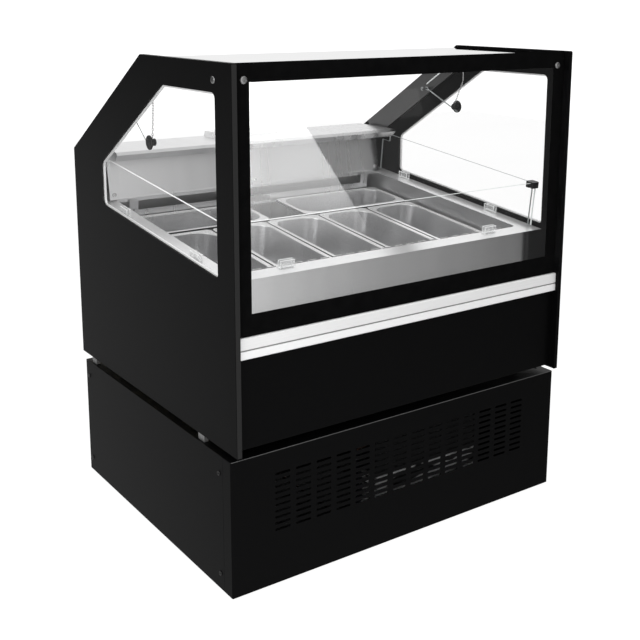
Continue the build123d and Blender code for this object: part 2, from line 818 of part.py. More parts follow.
# Hinge arms behind the top corners of the glass, turning on the pivot bolts
arm_outer_x = inner_half - arm_side_gap
arm_inner_x = arm_outer_x - arm_thickness
pivot_reach = arm_height / 2
with BuildPart() as glass_hinge_arms:
    for side in (-1, 1):
        block((side * (arm_outer_x - arm_flange), side * arm_outer_x),
              (glass_back_y, glass_back_y + arm_thickness),
              (cap_z - arm_height / 2, cap_z + arm_height / 2))
        block((side * arm_inner_x, side * arm_outer_x), (glass_back_y, pivot_y),
              (pivot_height - pivot_reach, pivot_height + pivot_reach))
        rod((side * arm_inner_x, pivot_y, pivot_height), (side, 0, 0), arm_height, arm_thickness)
        rod((side * arm_inner_x, pivot_y, pivot_height), (side, 0, 0),
            bolt_diameter + 2 * pivot_clearance, arm_thickness, Mode.SUBTRACT)
        rod((side * cap_x, glass_back_y, cap_z), (0, 1, 0), bolt_diameter + 2 * fit_gap, arm_thickness,
            Mode.SUBTRACT)
save(glass_hinge_arms, "glass_hinge_arms")


def capped_bolt(point, outward, length):
    """A flat round cap on a face, with a bolt that runs in behind it."""
    inward = tuple(-c for c in outward)
    rod(point, outward, cap_diameter, cap_height)
    rod(point, inward, bolt_diameter, length)


with BuildPart() as glass_cap_screws:
    for side in (-1, 1):
        capped_bolt((side * cap_x, glass_front_y, cap_z), (0, -1, 0), glass_thickness + arm_thickness)
    fillet(glass_cap_screws.edges().group_by(Axis.Y)[0], cap_edge)
save(glass_cap_screws, "glass_cap_screws")
cap_seat = half_width - cap_height + cap_proud
with BuildPart() as hinge_pivots:
    for side in (-1, 1):
        bolt_length = cap_seat - arm_inner_x + arm_side_gap
        capped_bolt((side * cap_seat, pivot_y, pivot_height), (side, 0, 0), bolt_length)
    for tip in (0, -1):
        fillet(hinge_pivots.edges().group_by(Axis.X)[tip], cap_edge)
save(hinge_pivots, "hinge_pivots")

# Glass roof between the side panels, with its front corners cut out for the hinge arms
roof_top = case_height - roof_drop
roof_front_y = glass_back_y + roof_front_gap
roof_half = inner_half - fit_gap
roof_notch_end_y = pivot_y + roof_notch_reach
roof_points = [
    (-roof_half + roof_notch_width, roof_front_y),
    (roof_half - roof_notch_width, roof_front_y),
    (roof_half - roof_notch_width, roof_notch_end_y),
    (roof_half, roof_notch_end_y),
    (roof_half, slope_top_y - roof_rear_gap),
    (-roof_half, slope_top_y - roof_rear_gap),
    (-roof_half, roof_notch_end_y),
    (-roof_half + roof_notch_width, roof_notch_end_y),
]
with BuildPart() as roof_glass:
    extrude(outline(Plane.XY.offset(roof_top), roof_points), amount=-roof_thickness)
save(roof_glass, "roof_glass")

# Rear panel on the server side, up to the foot of the slope
rear_panel_top = worktop_height - lip_drop
with BuildPart() as rear_panel:
    block((-front_panel_half, front_panel_half), (rear_y - sheet, rear_y), (body_bottom, rear_panel_top))
    block((-front_panel_half, front_panel_half), (rear_y - flange, rear_y),
          (rear_panel_top - sheet, rear_panel_top))
save(rear_panel, "rear_panel")

# Foamed body with the cold tank let into it, and a port for the pipes
foam_rear_y = rear_y - sheet
foam_bottom = body_bottom + foam_floor_gap
liner_front_y = rim_front_y + rim_front_width * cos(tilt)
foam_profile = [
    (foam_front_y, foam_bottom),
    (foam_rear_y, foam_bottom),
    (foam_rear_y, deck_height(foam_rear_y) - sheet / cos(tilt)),
    (foam_front_y, deck_height(foam_front_y) - sheet / cos(tilt)),
]


def tank_profile(grow):
    """The tank's section, grown outwards by a wall, up to the underside of the deck."""
    low_y = liner_front_y - grow
    high_y = tank_rear_y + grow
    return [
        (low_y, tank_floor - grow),
        (high_y, tank_floor - grow),
        (high_y, deck_height(high_y) - sheet / cos(tilt)),
        (low_y, deck_height(low_y) - sheet / cos(tilt)),
    ]


with BuildPart() as tank_insulation:
    extrude(outline(Plane.YZ, foam_profile), amount=inner_half, both=True)
    extrude(outline(Plane.YZ, tank_profile(sheet)), amount=tank_half + sheet, both=True, mode=Mode.SUBTRACT)
    rod((port_x, port_y, foam_bottom), (0, 0, 1), pipe_port, tank_floor - foam_bottom, Mode.SUBTRACT)
save(tank_insulation, "tank_insulation")
with BuildPart() as tank_liner:
    extrude(outline(Plane.YZ, tank_profile(sheet)), amount=tank_half + sheet, both=True)
    extrude(outline(Plane.YZ, tank_profile(0)), amount=tank_half, both=True, mode=Mode.SUBTRACT)
    rod((port_x, port_y, tank_floor - 2 * sheet), (0, 0, 1), pipe_port, 4 * sheet, Mode.SUBTRACT)
save(tank_liner, "tank_liner")

# Stainless deck with its rim round the tank, and the apron folded down at the front
deck_length = (foam_rear_y - rim_front_y) / cos(tilt) - sheet * tan(tilt) - fit_gap
opening_length = (tank_rear_y - liner_front_y) / cos(tilt)
with BuildPart() as deck_rim:
    with BuildSketch(deck):
        with Locations((0, deck_length / 2)):
            Rectangle(2 * front_panel_half, deck_length)
        with Locations((0, rim_front_width + opening_length / 2)):
            RectangleRounded(2 * tank_half, opening_length, tank_corner, mode=Mode.SUBTRACT)
    extrude(amount=-sheet)
    block((-front_panel_half, front_panel_half), (rim_front_y, foam_front_y),
          (apron_bottom, rim_front_height - sheet / 2))
save(deck_rim, "deck_rim")

# Frame that carries the pans, with one window for each row. A plate behind the pans leads the cold air, and
# a bracket at each of its ends reaches up to the housing
pan_level = deck.offset(-pan_drop)
front_row_end = front_row_start + pan_length
back_row_start = front_row_end + row_gap
back_row_end = back_row_start + pan_width
frame_half_width = tank_half - fit_gap
frame_rear = (housing_foot_y + frame_under_housing - rim_front_y) / cos(tilt)
frame_window_half = front_row_count * (pan_width + pan_gap) / 2 - frame_side_ledge
frame_level = pan_level.offset(-pan_lip)
rear_plate_place = back_row_end + rear_plate_gap + rear_plate_thickness / 2
rear_plate_half = tank_half - bracket_side_gap
bracket_x = rear_plate_half - bracket_width / 2
with BuildPart() as pan_frame:
    with BuildSketch(frame_level):
        with Locations((0, (frame_front + frame_rear) / 2)):
            Rectangle(2 * frame_half_width, frame_rear - frame_front)
        for low, high in ((front_row_start, front_row_end), (back_row_start, back_row_end)):
            with Locations((0, (low + high) / 2)):
                Rectangle(2 * frame_window_half, high - low - 2 * frame_ledge, mode=Mode.SUBTRACT)
    extrude(amount=-frame_thickness)
    with BuildSketch(frame_level):
        with Locations((0, rear_plate_place)):
            Rectangle(2 * rear_plate_half, rear_plate_thickness)
    extrude(amount=rear_plate_height)
    with BuildSketch(frame_level):
        with Locations((-bracket_x, rear_plate_place), (bracket_x, rear_plate_place)):
            Rectangle(bracket_width, rear_plate_thickness)
    extrude(amount=pan_drop + pan_lip)
    hole_y, hole_z = deck_point(rear_plate_place - rear_plate_thickness, -bracket_hole_drop)
    for side in (-1, 1):
        rod((side * bracket_x, hole_y, hole_z), deck.y_dir, bracket_hole, 2 * rear_plate_thickness,
            Mode.SUBTRACT)
save(pan_frame, "pan_frame")

# Toothed guard in front of the pans, where the cold air is drawn back
comb_count = int((2 * frame_half_width - comb_notch_width) // comb_pitch)
with BuildPart() as air_comb:
    with BuildSketch(frame_level):
        with Locations((0, frame_front + comb_thickness / 2)):
            Rectangle(2 * frame_half_width, comb_thickness)
    extrude(amount=comb_height + pan_lip)
    with BuildSketch(frame_level.offset(comb_height + pan_lip)):
        with Locations((0, frame_front + comb_thickness / 2)):
            with GridLocations(comb_pitch, 0, comb_count, 1):
                Rectangle(comb_notch_width, 2 * comb_thickness)
    extrude(amount=-comb_notch_depth, mode=Mode.SUBTRACT)
save(air_comb, "air_comb")


def pan_body(place, size_x, size_u, depth, radius):
    """The solid bowl of a pan, narrowing downwards, with a rounded bottom edge."""
    with BuildPart() as bowl:
        with BuildSketch(place):
            RectangleRounded(size_x, size_u, radius)
        extrude(amount=-depth, taper=pan_taper)
        fillet(bowl.faces().sort_by(Axis.Z)[0].edges(), pan_bottom_radius)
    return bowl.part


def ice_pan(centre_x, centre_u, size_x, size_u):
    """A steel pan with a flat flange and a lip turned down round it."""
    centre = pan_level.from_local_coords((centre_x, centre_u, 0))
    place = Plane(origin=centre, x_dir=deck.x_dir, z_dir=deck.z_dir)
    bowl_x = size_x - 2 * pan_flange
    bowl_u = size_u - 2 * pan_flange
    wall = 2 * pan_sheet
    upwards = Axis(centre, deck.z_dir)
    outer = pan_body(place, bowl_x, bowl_u, pan_depth, pan_corner)
    cavity = pan_body(place, bowl_x - wall, bowl_u - wall, pan_depth - pan_sheet, pan_corner - pan_sheet)
    with BuildPart() as pan:
        with BuildSketch(place):
            RectangleRounded(size_x, size_u, pan_flange_corner)
        extrude(amount=-pan_lip)
        fillet(pan.faces().sort_by(upwards)[-1].edges(), pan_rim_radius)
        with BuildSketch(place.offset(-pan_sheet)):
            RectangleRounded(size_x - wall, size_u - wall, pan_flange_corner - pan_sheet)
        extrude(amount=-pan_lip, mode=Mode.SUBTRACT)
        add(outer)
        add(cavity, mode=Mode.SUBTRACT)
        fillet(pan.faces().sort_by(upwards)[-1].inner_wires()[0].edges(), pan_rim_radius)
    return pan


# Seven pans: five side by side in front, two turned sideways behind them
front_row_u = front_row_start + pan_length / 2
back_row_u = back_row_start + pan_width / 2
back_row_x = front_row_count * (pan_width + pan_gap) / 2 - pan_gap / 2 - pan_length / 2
for index in range(front_row_count):
    pan_x = (index - (front_row_count - 1) / 2) * (pan_width + pan_gap)
    save(ice_pan(pan_x, front_row_u, pan_width, pan_length), f"pan_front_{index + 1}")
for name, side in (("pan_back_left", -1), ("pan_back_right", 1)):
    save(ice_pan(side * back_row_x, back_row_u, pan_length, pan_width), name)

# Evaporator block at the back of the tank
evaporator_back_y = tank_rear_y - evaporator_rear_gap
evaporator_front_y = evaporator_back_y - evaporator_depth
evaporator_z = (tank_floor + evaporator_foot, tank_floor + evaporator_foot + evaporator_height)
with BuildPart() as evaporator:
    block((-evaporator_width / 2, evaporator_width / 2), (evaporator_front_y, evaporator_back_y),
          evaporator_z)
    for side in (-1, 1):
        end_x = side * evaporator_width / 2
        block((end_x, end_x + side * coil_end_plate), (evaporator_front_y - coil_end_lip, tank_rear_y),
              (tank_floor, evaporator_z[1]))
save(evaporator, "evaporator")

# Baffle in front of the evaporator with two fan rings and their motors
fan_plate_y = evaporator_front_y - fan_plate_gap
cold_fan_height = tank_floor + cold_fan_rise
baffle_top = deck_height(fan_plate_y) - (pan_drop + pan_lip + frame_thickness) / cos(tilt)
cold_motor_y = fan_plate_y - cold_hub_length / 2 - motor_gap
with BuildPart() as evaporator_fan_plate:
    block((-frame_half_width, frame_half_width), (fan_plate_y, fan_plate_y + sheet),
          (tank_floor, baffle_top - fit_gap))
    for side in (-1, 1):
        ring_face = (side * cold_fan_x, fan_plate_y, cold_fan_height)
        motor_face = (side * cold_fan_x, cold_motor_y, cold_fan_height)
        rod(ring_face, (0, 1, 0), cold_fan_diameter + 2 * fan_tip_gap, sheet, Mode.SUBTRACT)
        rod(motor_face, (0, -1, 0), cold_motor_diameter, cold_motor_length)
        rod(motor_face, (0, 1, 0), shaft_diameter, shaft_length)
        ring = cold_fan_diameter / 2 + fan_tip_gap + motor_arm_width / 2
        for arm in (-1, 1):
            x = side * cold_fan_x + arm * ring
            block((side * cold_fan_x, x), (cold_motor_y - motor_arm_thickness, cold_motor_y),
                  (cold_fan_height - motor_arm_width / 2, cold_fan_height + motor_arm_width / 2))
            block((x - arm * motor_arm_thickness, x), (cold_motor_y - motor_arm_thickness, fan_plate_y),
                  (cold_fan_height - motor_arm_width / 2, cold_fan_height + motor_arm_width / 2))
save(evaporator_fan_plate, "evaporator_fan_plate")
for name, side in (("evaporator_fan_left", -1), ("evaporator_fan_right", 1)):
    wheel_centre = (side * cold_fan_x, fan_plate_y + sheet / 2, cold_fan_height)
    wheel_place = Plane(origin=wheel_centre, x_dir=(1, 0, 0), z_dir=(0, 1, 0))
    wheel = fan_wheel(wheel_place, cold_fan_diameter, cold_hub_diameter, cold_hub_length, cold_blade_chord,
                      shaft_bore)
    save(wheel, name)

# Copper lines: suction and liquid between plinth and evaporator, discharge to the condenser
suction_place = (port_x - port_offset, port_y + port_offset)
liquid_place = (port_x + port_offset, port_y - port_offset)
coil_port_x = coil_x - coil_width / 2 - coil_end_plate - coil_tube_diameter
coil_port_y = (coil_front_y + coil_back_y) / 2
coil_port_rise = coil_height / coil_bend_rows * (coil_bend_rows - 1) / 2
discharge_x = coil_port_x - pipe_run
liquid_x = discharge_x - liquid_diameter
low_port_z = coil_mid_z - coil_port_rise
high_port_z = coil_mid_z + coil_port_rise
pipe_routes = [
    (suction_diameter, [
        (compressor_x, compressor_y + stub_reach, stub_height),
        (compressor_x, suction_place[1], stub_height),
        (*suction_place, stub_height),
        (*suction_place, evaporator_z[0]),
    ]),
    (liquid_diameter, [
        (compressor_x + stub_reach, compressor_y, stub_height),
        (discharge_x, compressor_y, stub_height),
        (discharge_x, coil_port_y, stub_height),
        (discharge_x, coil_port_y, high_port_z),
        (coil_port_x, coil_port_y, high_port_z),
    ]),
    (liquid_diameter, [
        (coil_port_x, coil_port_y, low_port_z),
        (liquid_x, coil_port_y, low_port_z),
        (liquid_x, liquid_place[1], low_port_z),
        (*liquid_place, low_port_z),
        (*liquid_place, evaporator_z[0]),
    ]),
]
with BuildPart() as copper_lines:
    for diameter, corners in pipe_routes:
        with BuildLine() as route:
            FilletPolyline(*corners, radius=pipe_bend)
        with BuildSketch(Plane(origin=route.line @ 0, z_dir=route.line % 0)):
            Circle(diameter / 2)
        sweep()
save(copper_lines, "copper_lines")

# Housing over the evaporator: a leaning front sheet with a hem, a skirt down into the tank, and two cheeks
worktop_underside = worktop_height - sheet
housing_half_width = inner_half - housing_side_gap
housing_screw_x = housing_half_width - housing_screw_inset
housing_foot = deck_height(housing_foot_y + 2 * sheet) + sheet
housing_hem = housing_foot + housing_hem_height
skirt_half = tank_half - 2 * fit_gap
housing_line = [
    (housing_top_y, worktop_underside),
    (housing_hem_y, housing_hem),
    (housing_foot_y, housing_foot),
]
cheek_points = [
    (housing_hem_y, housing_hem),
    (housing_hem_y, deck_height(housing_hem_y) + fit_gap),
    (tank_rear_y, deck_height(tank_rear_y) + fit_gap),
    (tank_rear_y, worktop_underside),
    (housing_top_y, worktop_underside),
]
lean = Vector(0, housing_top_y - housing_hem_y, worktop_underside - housing_hem).normalized()
lean_outward = (0, -lean.Z, lean.Y)
screw_y = housing_hem_y + housing_screw_rise * lean.Y
screw_z = housing_hem + housing_screw_rise * lean.Z
housing_screws = [(x, screw_y, screw_z) for x in (-housing_screw_x, 0, housing_screw_x)]
with BuildPart() as housing_front:
    extrude(folded(Plane.YZ, housing_line, sheet), amount=housing_half_width, both=True)
    block((-skirt_half, skirt_half), (housing_foot_y, housing_foot_y + sheet),
          (housing_foot - housing_skirt, housing_foot + sheet))
    for side in (-1, 1):
        extrude(outline(Plane.YZ.offset(side * housing_half_width), cheek_points), amount=-side * sheet)
    for point in housing_screws:
        screw_hole(point, lean_outward)
save(housing_front, "housing_front")

# Worktop with a pointed front lip and a fold down to the rear panel
worktop_half_width = inner_half - worktop_side_gap
worktop_front_y = rear_y - worktop_front_inset
worktop_rear_y = rear_y - flange / 2
worktop_foot = worktop_height - lip_drop
worktop_line = [
    (worktop_rear_y, worktop_foot),
    (worktop_rear_y, worktop_height),
    (worktop_front_y, worktop_height),
    (worktop_front_y - lip_reach, worktop_height - lip_front_drop),
    (worktop_front_y + lip_return, worktop_foot),
]
with BuildPart() as worktop:
    extrude(folded(Plane.YZ, worktop_line, sheet), amount=worktop_half_width, both=True)
save(worktop, "worktop")

# Controller: a low box on the worktop, with its display on the face that leans to the server
control_front_y = rear_y - control_front_inset
control_rear_y = control_front_y + control_depth
control_top = worktop_height + control_height
control_points = [
    (control_front_y, worktop_height),
    (control_rear_y, worktop_height),
    (control_rear_y - control_slope, control_top),
    (control_front_y, control_top),
]
with BuildPart() as control_box:
    extrude(outline(Plane.YZ, control_points), amount=control_width / 2, both=True)
    fillet(control_box.edges().group_by(Axis.Z)[-1], control_edge)
save(control_box, "control_box")
display_place = Plane(
    origin=(0, control_rear_y - control_slope / 2, worktop_height + control_height / 2),
    x_dir=(1, 0, 0),
    z_dir=(0, control_height, control_slope),
)
with BuildPart() as control_display:
    with BuildSketch(display_place):
        RectangleRounded(display_width, display_depth, display_corner)
    extrude(amount=display_thickness)
save(control_display, "control_display")

# Glass guard: a front pane and two side panes that stand in clips, square to the deck
pane_half = guard_thickness / 2
guard_front = guard_front_inset / cos(tilt)
guard_low = guard_front + pane_half + fit_gap
guard_rear = (housing_foot_y + guard_past_housing - rim_front_y) / cos(tilt)
guard_notch = guard_rear - guard_notch_length
guard_side_x = inner_half - guard_side_gap
guard_end_x = guard_side_x + pane_half + guard_overhang
front_pane_points = [
    deck_point(guard_front - pane_half, guard_lift),
    deck_point(guard_front + pane_half, guard_lift),
    deck_point(guard_front + pane_half, guard_height),
    deck_point(guard_front - pane_half, guard_height),
]
side_pane_points = [
    deck_point(guard_low, guard_lift),
    deck_point(guard_rear, guard_lift),
    deck_point(guard_rear, guard_height - guard_notch_drop),
    deck_point(guard_notch, guard_height - guard_notch_drop),
    deck_point(guard_notch, guard_height),
    deck_point(guard_low, guard_height),
]
with BuildPart() as guard_front_pane:
    extrude(outline(Plane.YZ, front_pane_points), amount=guard_end_x, both=True)
save(guard_front_pane, "guard_front_pane")
with BuildPart() as guard_side_panes:
    for side in (-1, 1):
        start = side * guard_side_x - pane_half
        extrude(outline(Plane.YZ.offset(start), side_pane_points), amount=guard_thickness)
save(guard_side_panes, "guard_side_panes")

# Clear clips under the guard, each with a floor and two cheeks
clip_depth = guard_thickness + 2 * (clip_wall + clip_slack)
clip_slot = guard_thickness + 2 * clip_slack
clip_places = [
    (clip_left_inset - guard_side_x, guard_front, 0),
    (guard_side_x - clip_right_inset, guard_front, 0),
]
for along in (guard_rear - clip_rear_inset, guard_front + clip_front_inset):
    clip_places.append((-guard_side_x, along, 90))
    clip_places.append((guard_side_x, along + clip_right_setback, 90))
with BuildPart() as guard_clips:
    for x, along, turn in clip_places:
        with BuildSketch(deck):
            with Locations((x, along)):
                Rectangle(clip_length, clip_depth, rotation=turn)
        extrude(amount=clip_height)
        with BuildSketch(deck.offset(guard_lift)):
            with Locations((x, along)):
                Rectangle(2 * clip_length, clip_slot, rotation=turn)
        extrude(amount=clip_height, mode=Mode.SUBTRACT)
save(guard_clips, "guard_clips")

# Black corner connectors that hold the front pane to the side panes
connector_along = guard_front - corner_setback + corner_size / 2
connector_foot = deck.offset(guard_height - corner_height)
with BuildPart() as guard_corners:
    with BuildSketch(connector_foot):
        with Locations((-guard_side_x, connector_along), (guard_side_x, connector_along)):
            RectangleRounded(corner_size, corner_size, corner_edge)
    extrude(amount=corner_height + corner_cap)
    with BuildSketch(connector_foot):
        with Locations((0, guard_front)):
            Rectangle(2 * (guard_end_x + clip_slack), clip_slot)
        for side in (-1, 1):
            with Locations((side * guard_side_x, guard_front)):
                Rectangle(clip_slot, corner_size, align=(Align.CENTER, Align.MIN))
    extrude(amount=corner_height + clip_slack, mode=Mode.SUBTRACT)
save(guard_corners, "guard_corners")

# Stainless rails along the rear slope, with a stud each that the flap turns on
hinge_y, hinge_z = slope_point(hinge_along, hinge_inset)
rail_end = slope_length - rail_foot_gap
flap_half_width = inner_half - flap_side_gap
rail_face = [
    slope_point(rail_start, rail_outer_inset),
    slope_point(rail_end, rail_outer_inset),
    slope_point(rail_end, rail_inner_inset),
    slope_point(rail_start, rail_inner_inset),
]
rail_lip_face = [
    slope_point(rail_start, rail_inner_inset - sheet),
    slope_point(rail_end, rail_inner_inset - sheet),
    slope_point(rail_end, rail_inner_inset),
    slope_point(rail_start, rail_inner_inset),
]
with BuildPart() as flap_rails:
    for side in (-1, 1):
        wall = Plane.YZ.offset(side * inner_half)
        extrude(outline(wall, rail_face), amount=-side * sheet)
        extrude(outline(wall, rail_lip_face), amount=-side * (sheet + rail_lip))
        rod((side * inner_half, hinge_y, hinge_z), (-side, 0, 0), hinge_pin_diameter, hinge_pin_length)
save(flap_rails, "flap_rails")

# Clear screen under the upper half of the slope
screen_face = [
    slope_point(screen_start, screen_inset - screen_thickness / 2),
    slope_point(hinge_along, screen_inset - screen_thickness / 2),
    slope_point(hinge_along, screen_inset + screen_thickness / 2),
    slope_point(screen_start, screen_inset + screen_thickness / 2),
]
with BuildPart() as rear_screen:
    extrude(outline(Plane.YZ, screen_face), amount=inner_half - sheet - fit_gap, both=True)
save(rear_screen, "rear_screen")


def flap_end(side):
    """Plane across one end of the flap, its X axis along the sagging plate, its Y axis upwards."""
    sag = radians(flap_sag_left if side < 0 else flap_sag_right)
    corner = (side * flap_half_width, hinge_y, hinge_z)
    return Plane(origin=corner, x_dir=(0, -cos(sag), -sin(sag)), z_dir=(-1, 0, 0))


def flap_edge(side):
    """The cut face of the flap at one end."""
    with BuildSketch(flap_end(side)) as sketch:
        with Locations((flap_length / 2, 0)):
            Rectangle(flap_length, flap_thickness)
    return sketch.sketch


# Flap: one thin clear plate, twisted by its two chains, with a round boss on each stud
boss_length = flap_half_width - (inner_half - hinge_pin_length) + fit_gap
with BuildPart() as flap:
    loft(sections=[flap_edge(-1), flap_edge(1)], ruled=True)
    for side in (-1, 1):
        rod((side * flap_half_width, hinge_y, hinge_z), (-side, 0, 0), hinge_boss_diameter, boss_length)
        rod((side * inner_half, hinge_y, hinge_z), (-side, 0, 0), hinge_pin_diameter + 2 * pivot_clearance,
            hinge_pin_length + fit_gap, Mode.SUBTRACT)
save(flap, "flap")

# Knobs at the free corners of the flap: a disc beside the plate and a hub on top of it
hub_rise = flap_thickness / 2 + knob_hub_diameter / 2 + knob_seat_gap


def knob_centre(side):
    """Y and Z of a knob's axis."""
    place = flap_end(side).from_local_coords((knob_radius_on_flap, hub_rise, 0))
    return (place.Y, place.Z)


with BuildPart() as flap_knobs:
    for side in (-1, 1):
        centre = knob_centre(side)
        disc_x = side * (flap_half_width + fit_gap)
        rod((disc_x, *centre), (side, 0, 0), knob_diameter, knob_thickness)
        rod((disc_x, *centre), (-side, 0, 0), knob_hub_diameter, knob_hub_length)
    fillet(flap_knobs.edges().group_by(Axis.X)[0], knob_edge)
    fillet(flap_knobs.edges().group_by(Axis.X)[-1], knob_edge)
save(flap_knobs, "flap_knobs")

# Wire hooks in the side panels, and the chains from the hooks to the knobs
hook_x = inner_half - hook_standoff
with BuildPart() as chain_hooks:
    for side in (-1, 1):
        rod((side * (hook_x - hook_wire / 2), hook_y, hook_height), (side, 0, 0), hook_wire,
            hook_standoff + hook_wire / 2 + panel_thickness / 2 - fit_gap)
        rod((side * hook_x, hook_y, hook_height), (0, 0, -1), hook_wire, hook_drop)
save(chain_hooks, "chain_hooks")
for name, side in (("chain_left", -1), ("chain_right", 1)):
    knob_y, knob_z = knob_centre(side)
    chain_top = Vector(side * hook_x, hook_y, hook_height - hook_drop - chain_slack)
    chain_foot = Vector(side * (flap_half_width - knob_hub_length / 2), knob_y,
                        knob_z + knob_hub_diameter / 2 + chain_diameter / 2)
    with BuildPart() as chain:
        rod(tuple(chain_top), tuple(chain_foot - chain_top), chain_diameter, (chain_foot - chain_top).length)
    save(chain, name)

# Round-headed screws of the plinth panels and of the housing
with BuildPart() as panel_screws:
    for point in side_screws:
        round_screw(point, (point[0] / base_half, 0, 0))
    for point in housing_screws:
        round_screw(point, lean_outward)
save(panel_screws, "panel_screws")
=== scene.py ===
# %% [markdown]
# # An ice cream display case
# The case is already built in CAD: sixty pieces at their real size, in metres, with Z up and the
# customer's side towards -Y. This lesson loads them as a fixed frame, gives each one a finish, and
# models the small things that CAD leaves plain: the printed border of the glass, the link chains, the
# clear clips, the knobs and the heads of the screws. Nothing in the frame is moved or reshaped, so the
# looks and the moving model stay in step.

# %% Load the frame
import json
import math

import bpy
from mathutils import Matrix, Quaternion, Vector


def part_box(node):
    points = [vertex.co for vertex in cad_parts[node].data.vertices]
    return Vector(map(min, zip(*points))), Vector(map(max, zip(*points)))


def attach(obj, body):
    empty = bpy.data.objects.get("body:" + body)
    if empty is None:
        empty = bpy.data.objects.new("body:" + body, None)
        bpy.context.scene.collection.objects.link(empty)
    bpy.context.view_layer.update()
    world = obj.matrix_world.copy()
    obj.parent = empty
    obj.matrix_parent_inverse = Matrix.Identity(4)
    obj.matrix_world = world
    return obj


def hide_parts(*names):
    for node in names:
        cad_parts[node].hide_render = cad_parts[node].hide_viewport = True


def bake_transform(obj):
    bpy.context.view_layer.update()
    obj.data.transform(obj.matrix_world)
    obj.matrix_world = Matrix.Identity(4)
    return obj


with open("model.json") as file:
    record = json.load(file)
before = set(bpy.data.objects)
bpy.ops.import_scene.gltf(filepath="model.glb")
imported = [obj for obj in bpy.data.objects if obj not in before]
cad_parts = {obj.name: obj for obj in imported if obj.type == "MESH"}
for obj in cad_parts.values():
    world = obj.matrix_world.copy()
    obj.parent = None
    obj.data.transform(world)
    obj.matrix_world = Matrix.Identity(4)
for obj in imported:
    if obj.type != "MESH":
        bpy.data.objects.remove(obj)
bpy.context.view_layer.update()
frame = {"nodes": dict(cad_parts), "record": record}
nodes = frame["nodes"]
scene = bpy.context.scene
bpy.ops.object.select_all(action="DESELECT")

# %% [markdown]
# ## Camera
# The photograph was taken from the customer's left, a little above the deck, with a long lens. The
# upright edges stay parallel, so the camera looked nearly level and the frame was shifted down. A
# camera can be aimed by hand, but edges measured in the photograph give its place directly, and the
# render can then be laid over the photograph.

# %% Camera at the photograph's place
eye = Vector((-1.4829, -2.1650, 1.2816))
target = Vector((0.0462, 0.0, 0.7386))
camera_roll = math.radians(0.1945)
lens_data = bpy.data.cameras.new("shop_camera")
lens_data.sensor_width = 36.0
lens_data.lens = 57.63
lens_data.shift_x = -0.0148
lens_data.shift_y = -0.1696
shop_camera = bpy.data.objects.new("shop_camera", lens_data)
scene.collection.objects.link(shop_camera)
aim = (target - eye).to_track_quat("-Z", "Y")
shop_camera.location = eye
shop_camera.rotation_mode = "QUATERNION"
shop_camera.rotation_quaternion = aim @ Quaternion((0, 0, 1), camera_roll)
scene.camera = shop_camera
print("camera distance:", round((target - eye).length, 3), "m")

# %% [markdown]
# ## Nodes by name
# Every finish below is a small node tree. A few helpers keep them short: one places a node and fills
# its sockets, one gives a noise on Object coordinates, and one turns a noise into a colour. Others
# measure a place on the piece, or the way its surface faces. Object coordinates are in metres here, so
# a noise scale of 1000 means grains of about a millimetre.

# %% Helpers for node trees
def put(tree, kind, inputs=None, **settings):
    """Place a node, set it up, and fill its sockets with values or links."""
    node = tree.nodes.new(kind)
    for name, value in settings.items():
        setattr(node, name, value)
    for name, value in (inputs or {}).items():
        if isinstance(value, bpy.types.NodeSocket):
            tree.links.new(value, node.inputs[name])
        else:
            node.inputs[name].default_value = value
    return node


def reckon(tree, operation, *values):
    """A Math node's result."""
    return put(tree, "ShaderNodeMath", dict(enumerate(values)), operation=operation).outputs["Value"]


def spread(tree, value, start, end, low=0.0, high=1.0):
    """Map a range of numbers onto another, and hold it there."""
    limits = {"Value": value, "From Min": start, "From Max": end, "To Min": low, "To Max": high}
    return put(tree, "ShaderNodeMapRange", limits).outputs["Result"]


# %% Helpers for noise and colour
def speckle(tree, scale, stretch=(1.0, 1.0, 1.0), detail=2.0):
    """Noise between 0 and 1 on Object coordinates, stretched along the axes."""
    coords = put(tree, "ShaderNodeTexCoord").outputs["Object"]
    drawn = put(tree, "ShaderNodeMapping", {"Vector": coords, "Scale": stretch}).outputs["Vector"]
    noise = put(tree, "ShaderNodeTexNoise", {"Vector": drawn, "Scale": scale, "Detail": detail})
    return noise.outputs["Fac"]


def between(tree, value, low, high):
    """Spread the middle of a noise over a range of numbers."""
    return spread(tree, value, 0.3, 0.7, low, high)


def tones(tree, value, dark, light):
    """Turn a noise into a colour between two tones."""
    ramp = put(tree, "ShaderNodeValToRGB", {"Fac": value})
    for element, place, tone in zip(ramp.color_ramp.elements, (0.3, 0.7), (dark, light)):
        element.position = place
        element.color = (*tone, 1.0)
    return ramp.outputs["Color"]


def blend_colours(tree, share, first, second):
    """Mix two colours by a share."""
    return put(tree, "ShaderNodeMixRGB", {"Fac": share, "Color1": first, "Color2": second}).outputs["Color"]


# %% Helpers for places and directions
def along(tree, axis):
    """The Object coordinate along one axis."""
    coords = put(tree, "ShaderNodeTexCoord").outputs["Object"]
    return put(tree, "ShaderNodeSeparateXYZ", {"Vector": coords}).outputs[axis]


def reach(tree, vector, way):
    """How far a vector goes one way."""
    return put(tree, "ShaderNodeVectorMath", {0: vector, 1: way}, operation="DOT_PRODUCT").outputs["Value"]


def facing(tree, way):
    """How far the surface looks one way, from -1 to 1, the same from both sides of it."""
    normal = put(tree, "ShaderNodeTexCoord").outputs["Normal"]
    side = reckon(tree, "MULTIPLY_ADD", put(tree, "ShaderNodeNewGeometry").outputs["Backfacing"], -2.0, 1.0)
    return reckon(tree, "MULTIPLY", reach(tree, normal, way), side)


def place_from(tree, centre, size):
    """Object coordinates measured from a centre, in units of a size."""
    coords = put(tree, "ShaderNodeTexCoord").outputs["Object"]
    offset = put(tree, "ShaderNodeVectorMath", {0: coords, 1: centre}, operation="SUBTRACT").outputs["Vector"]
    return put(tree, "ShaderNodeVectorMath", {0: offset, 1: size}, operation="DIVIDE").outputs["Vector"]


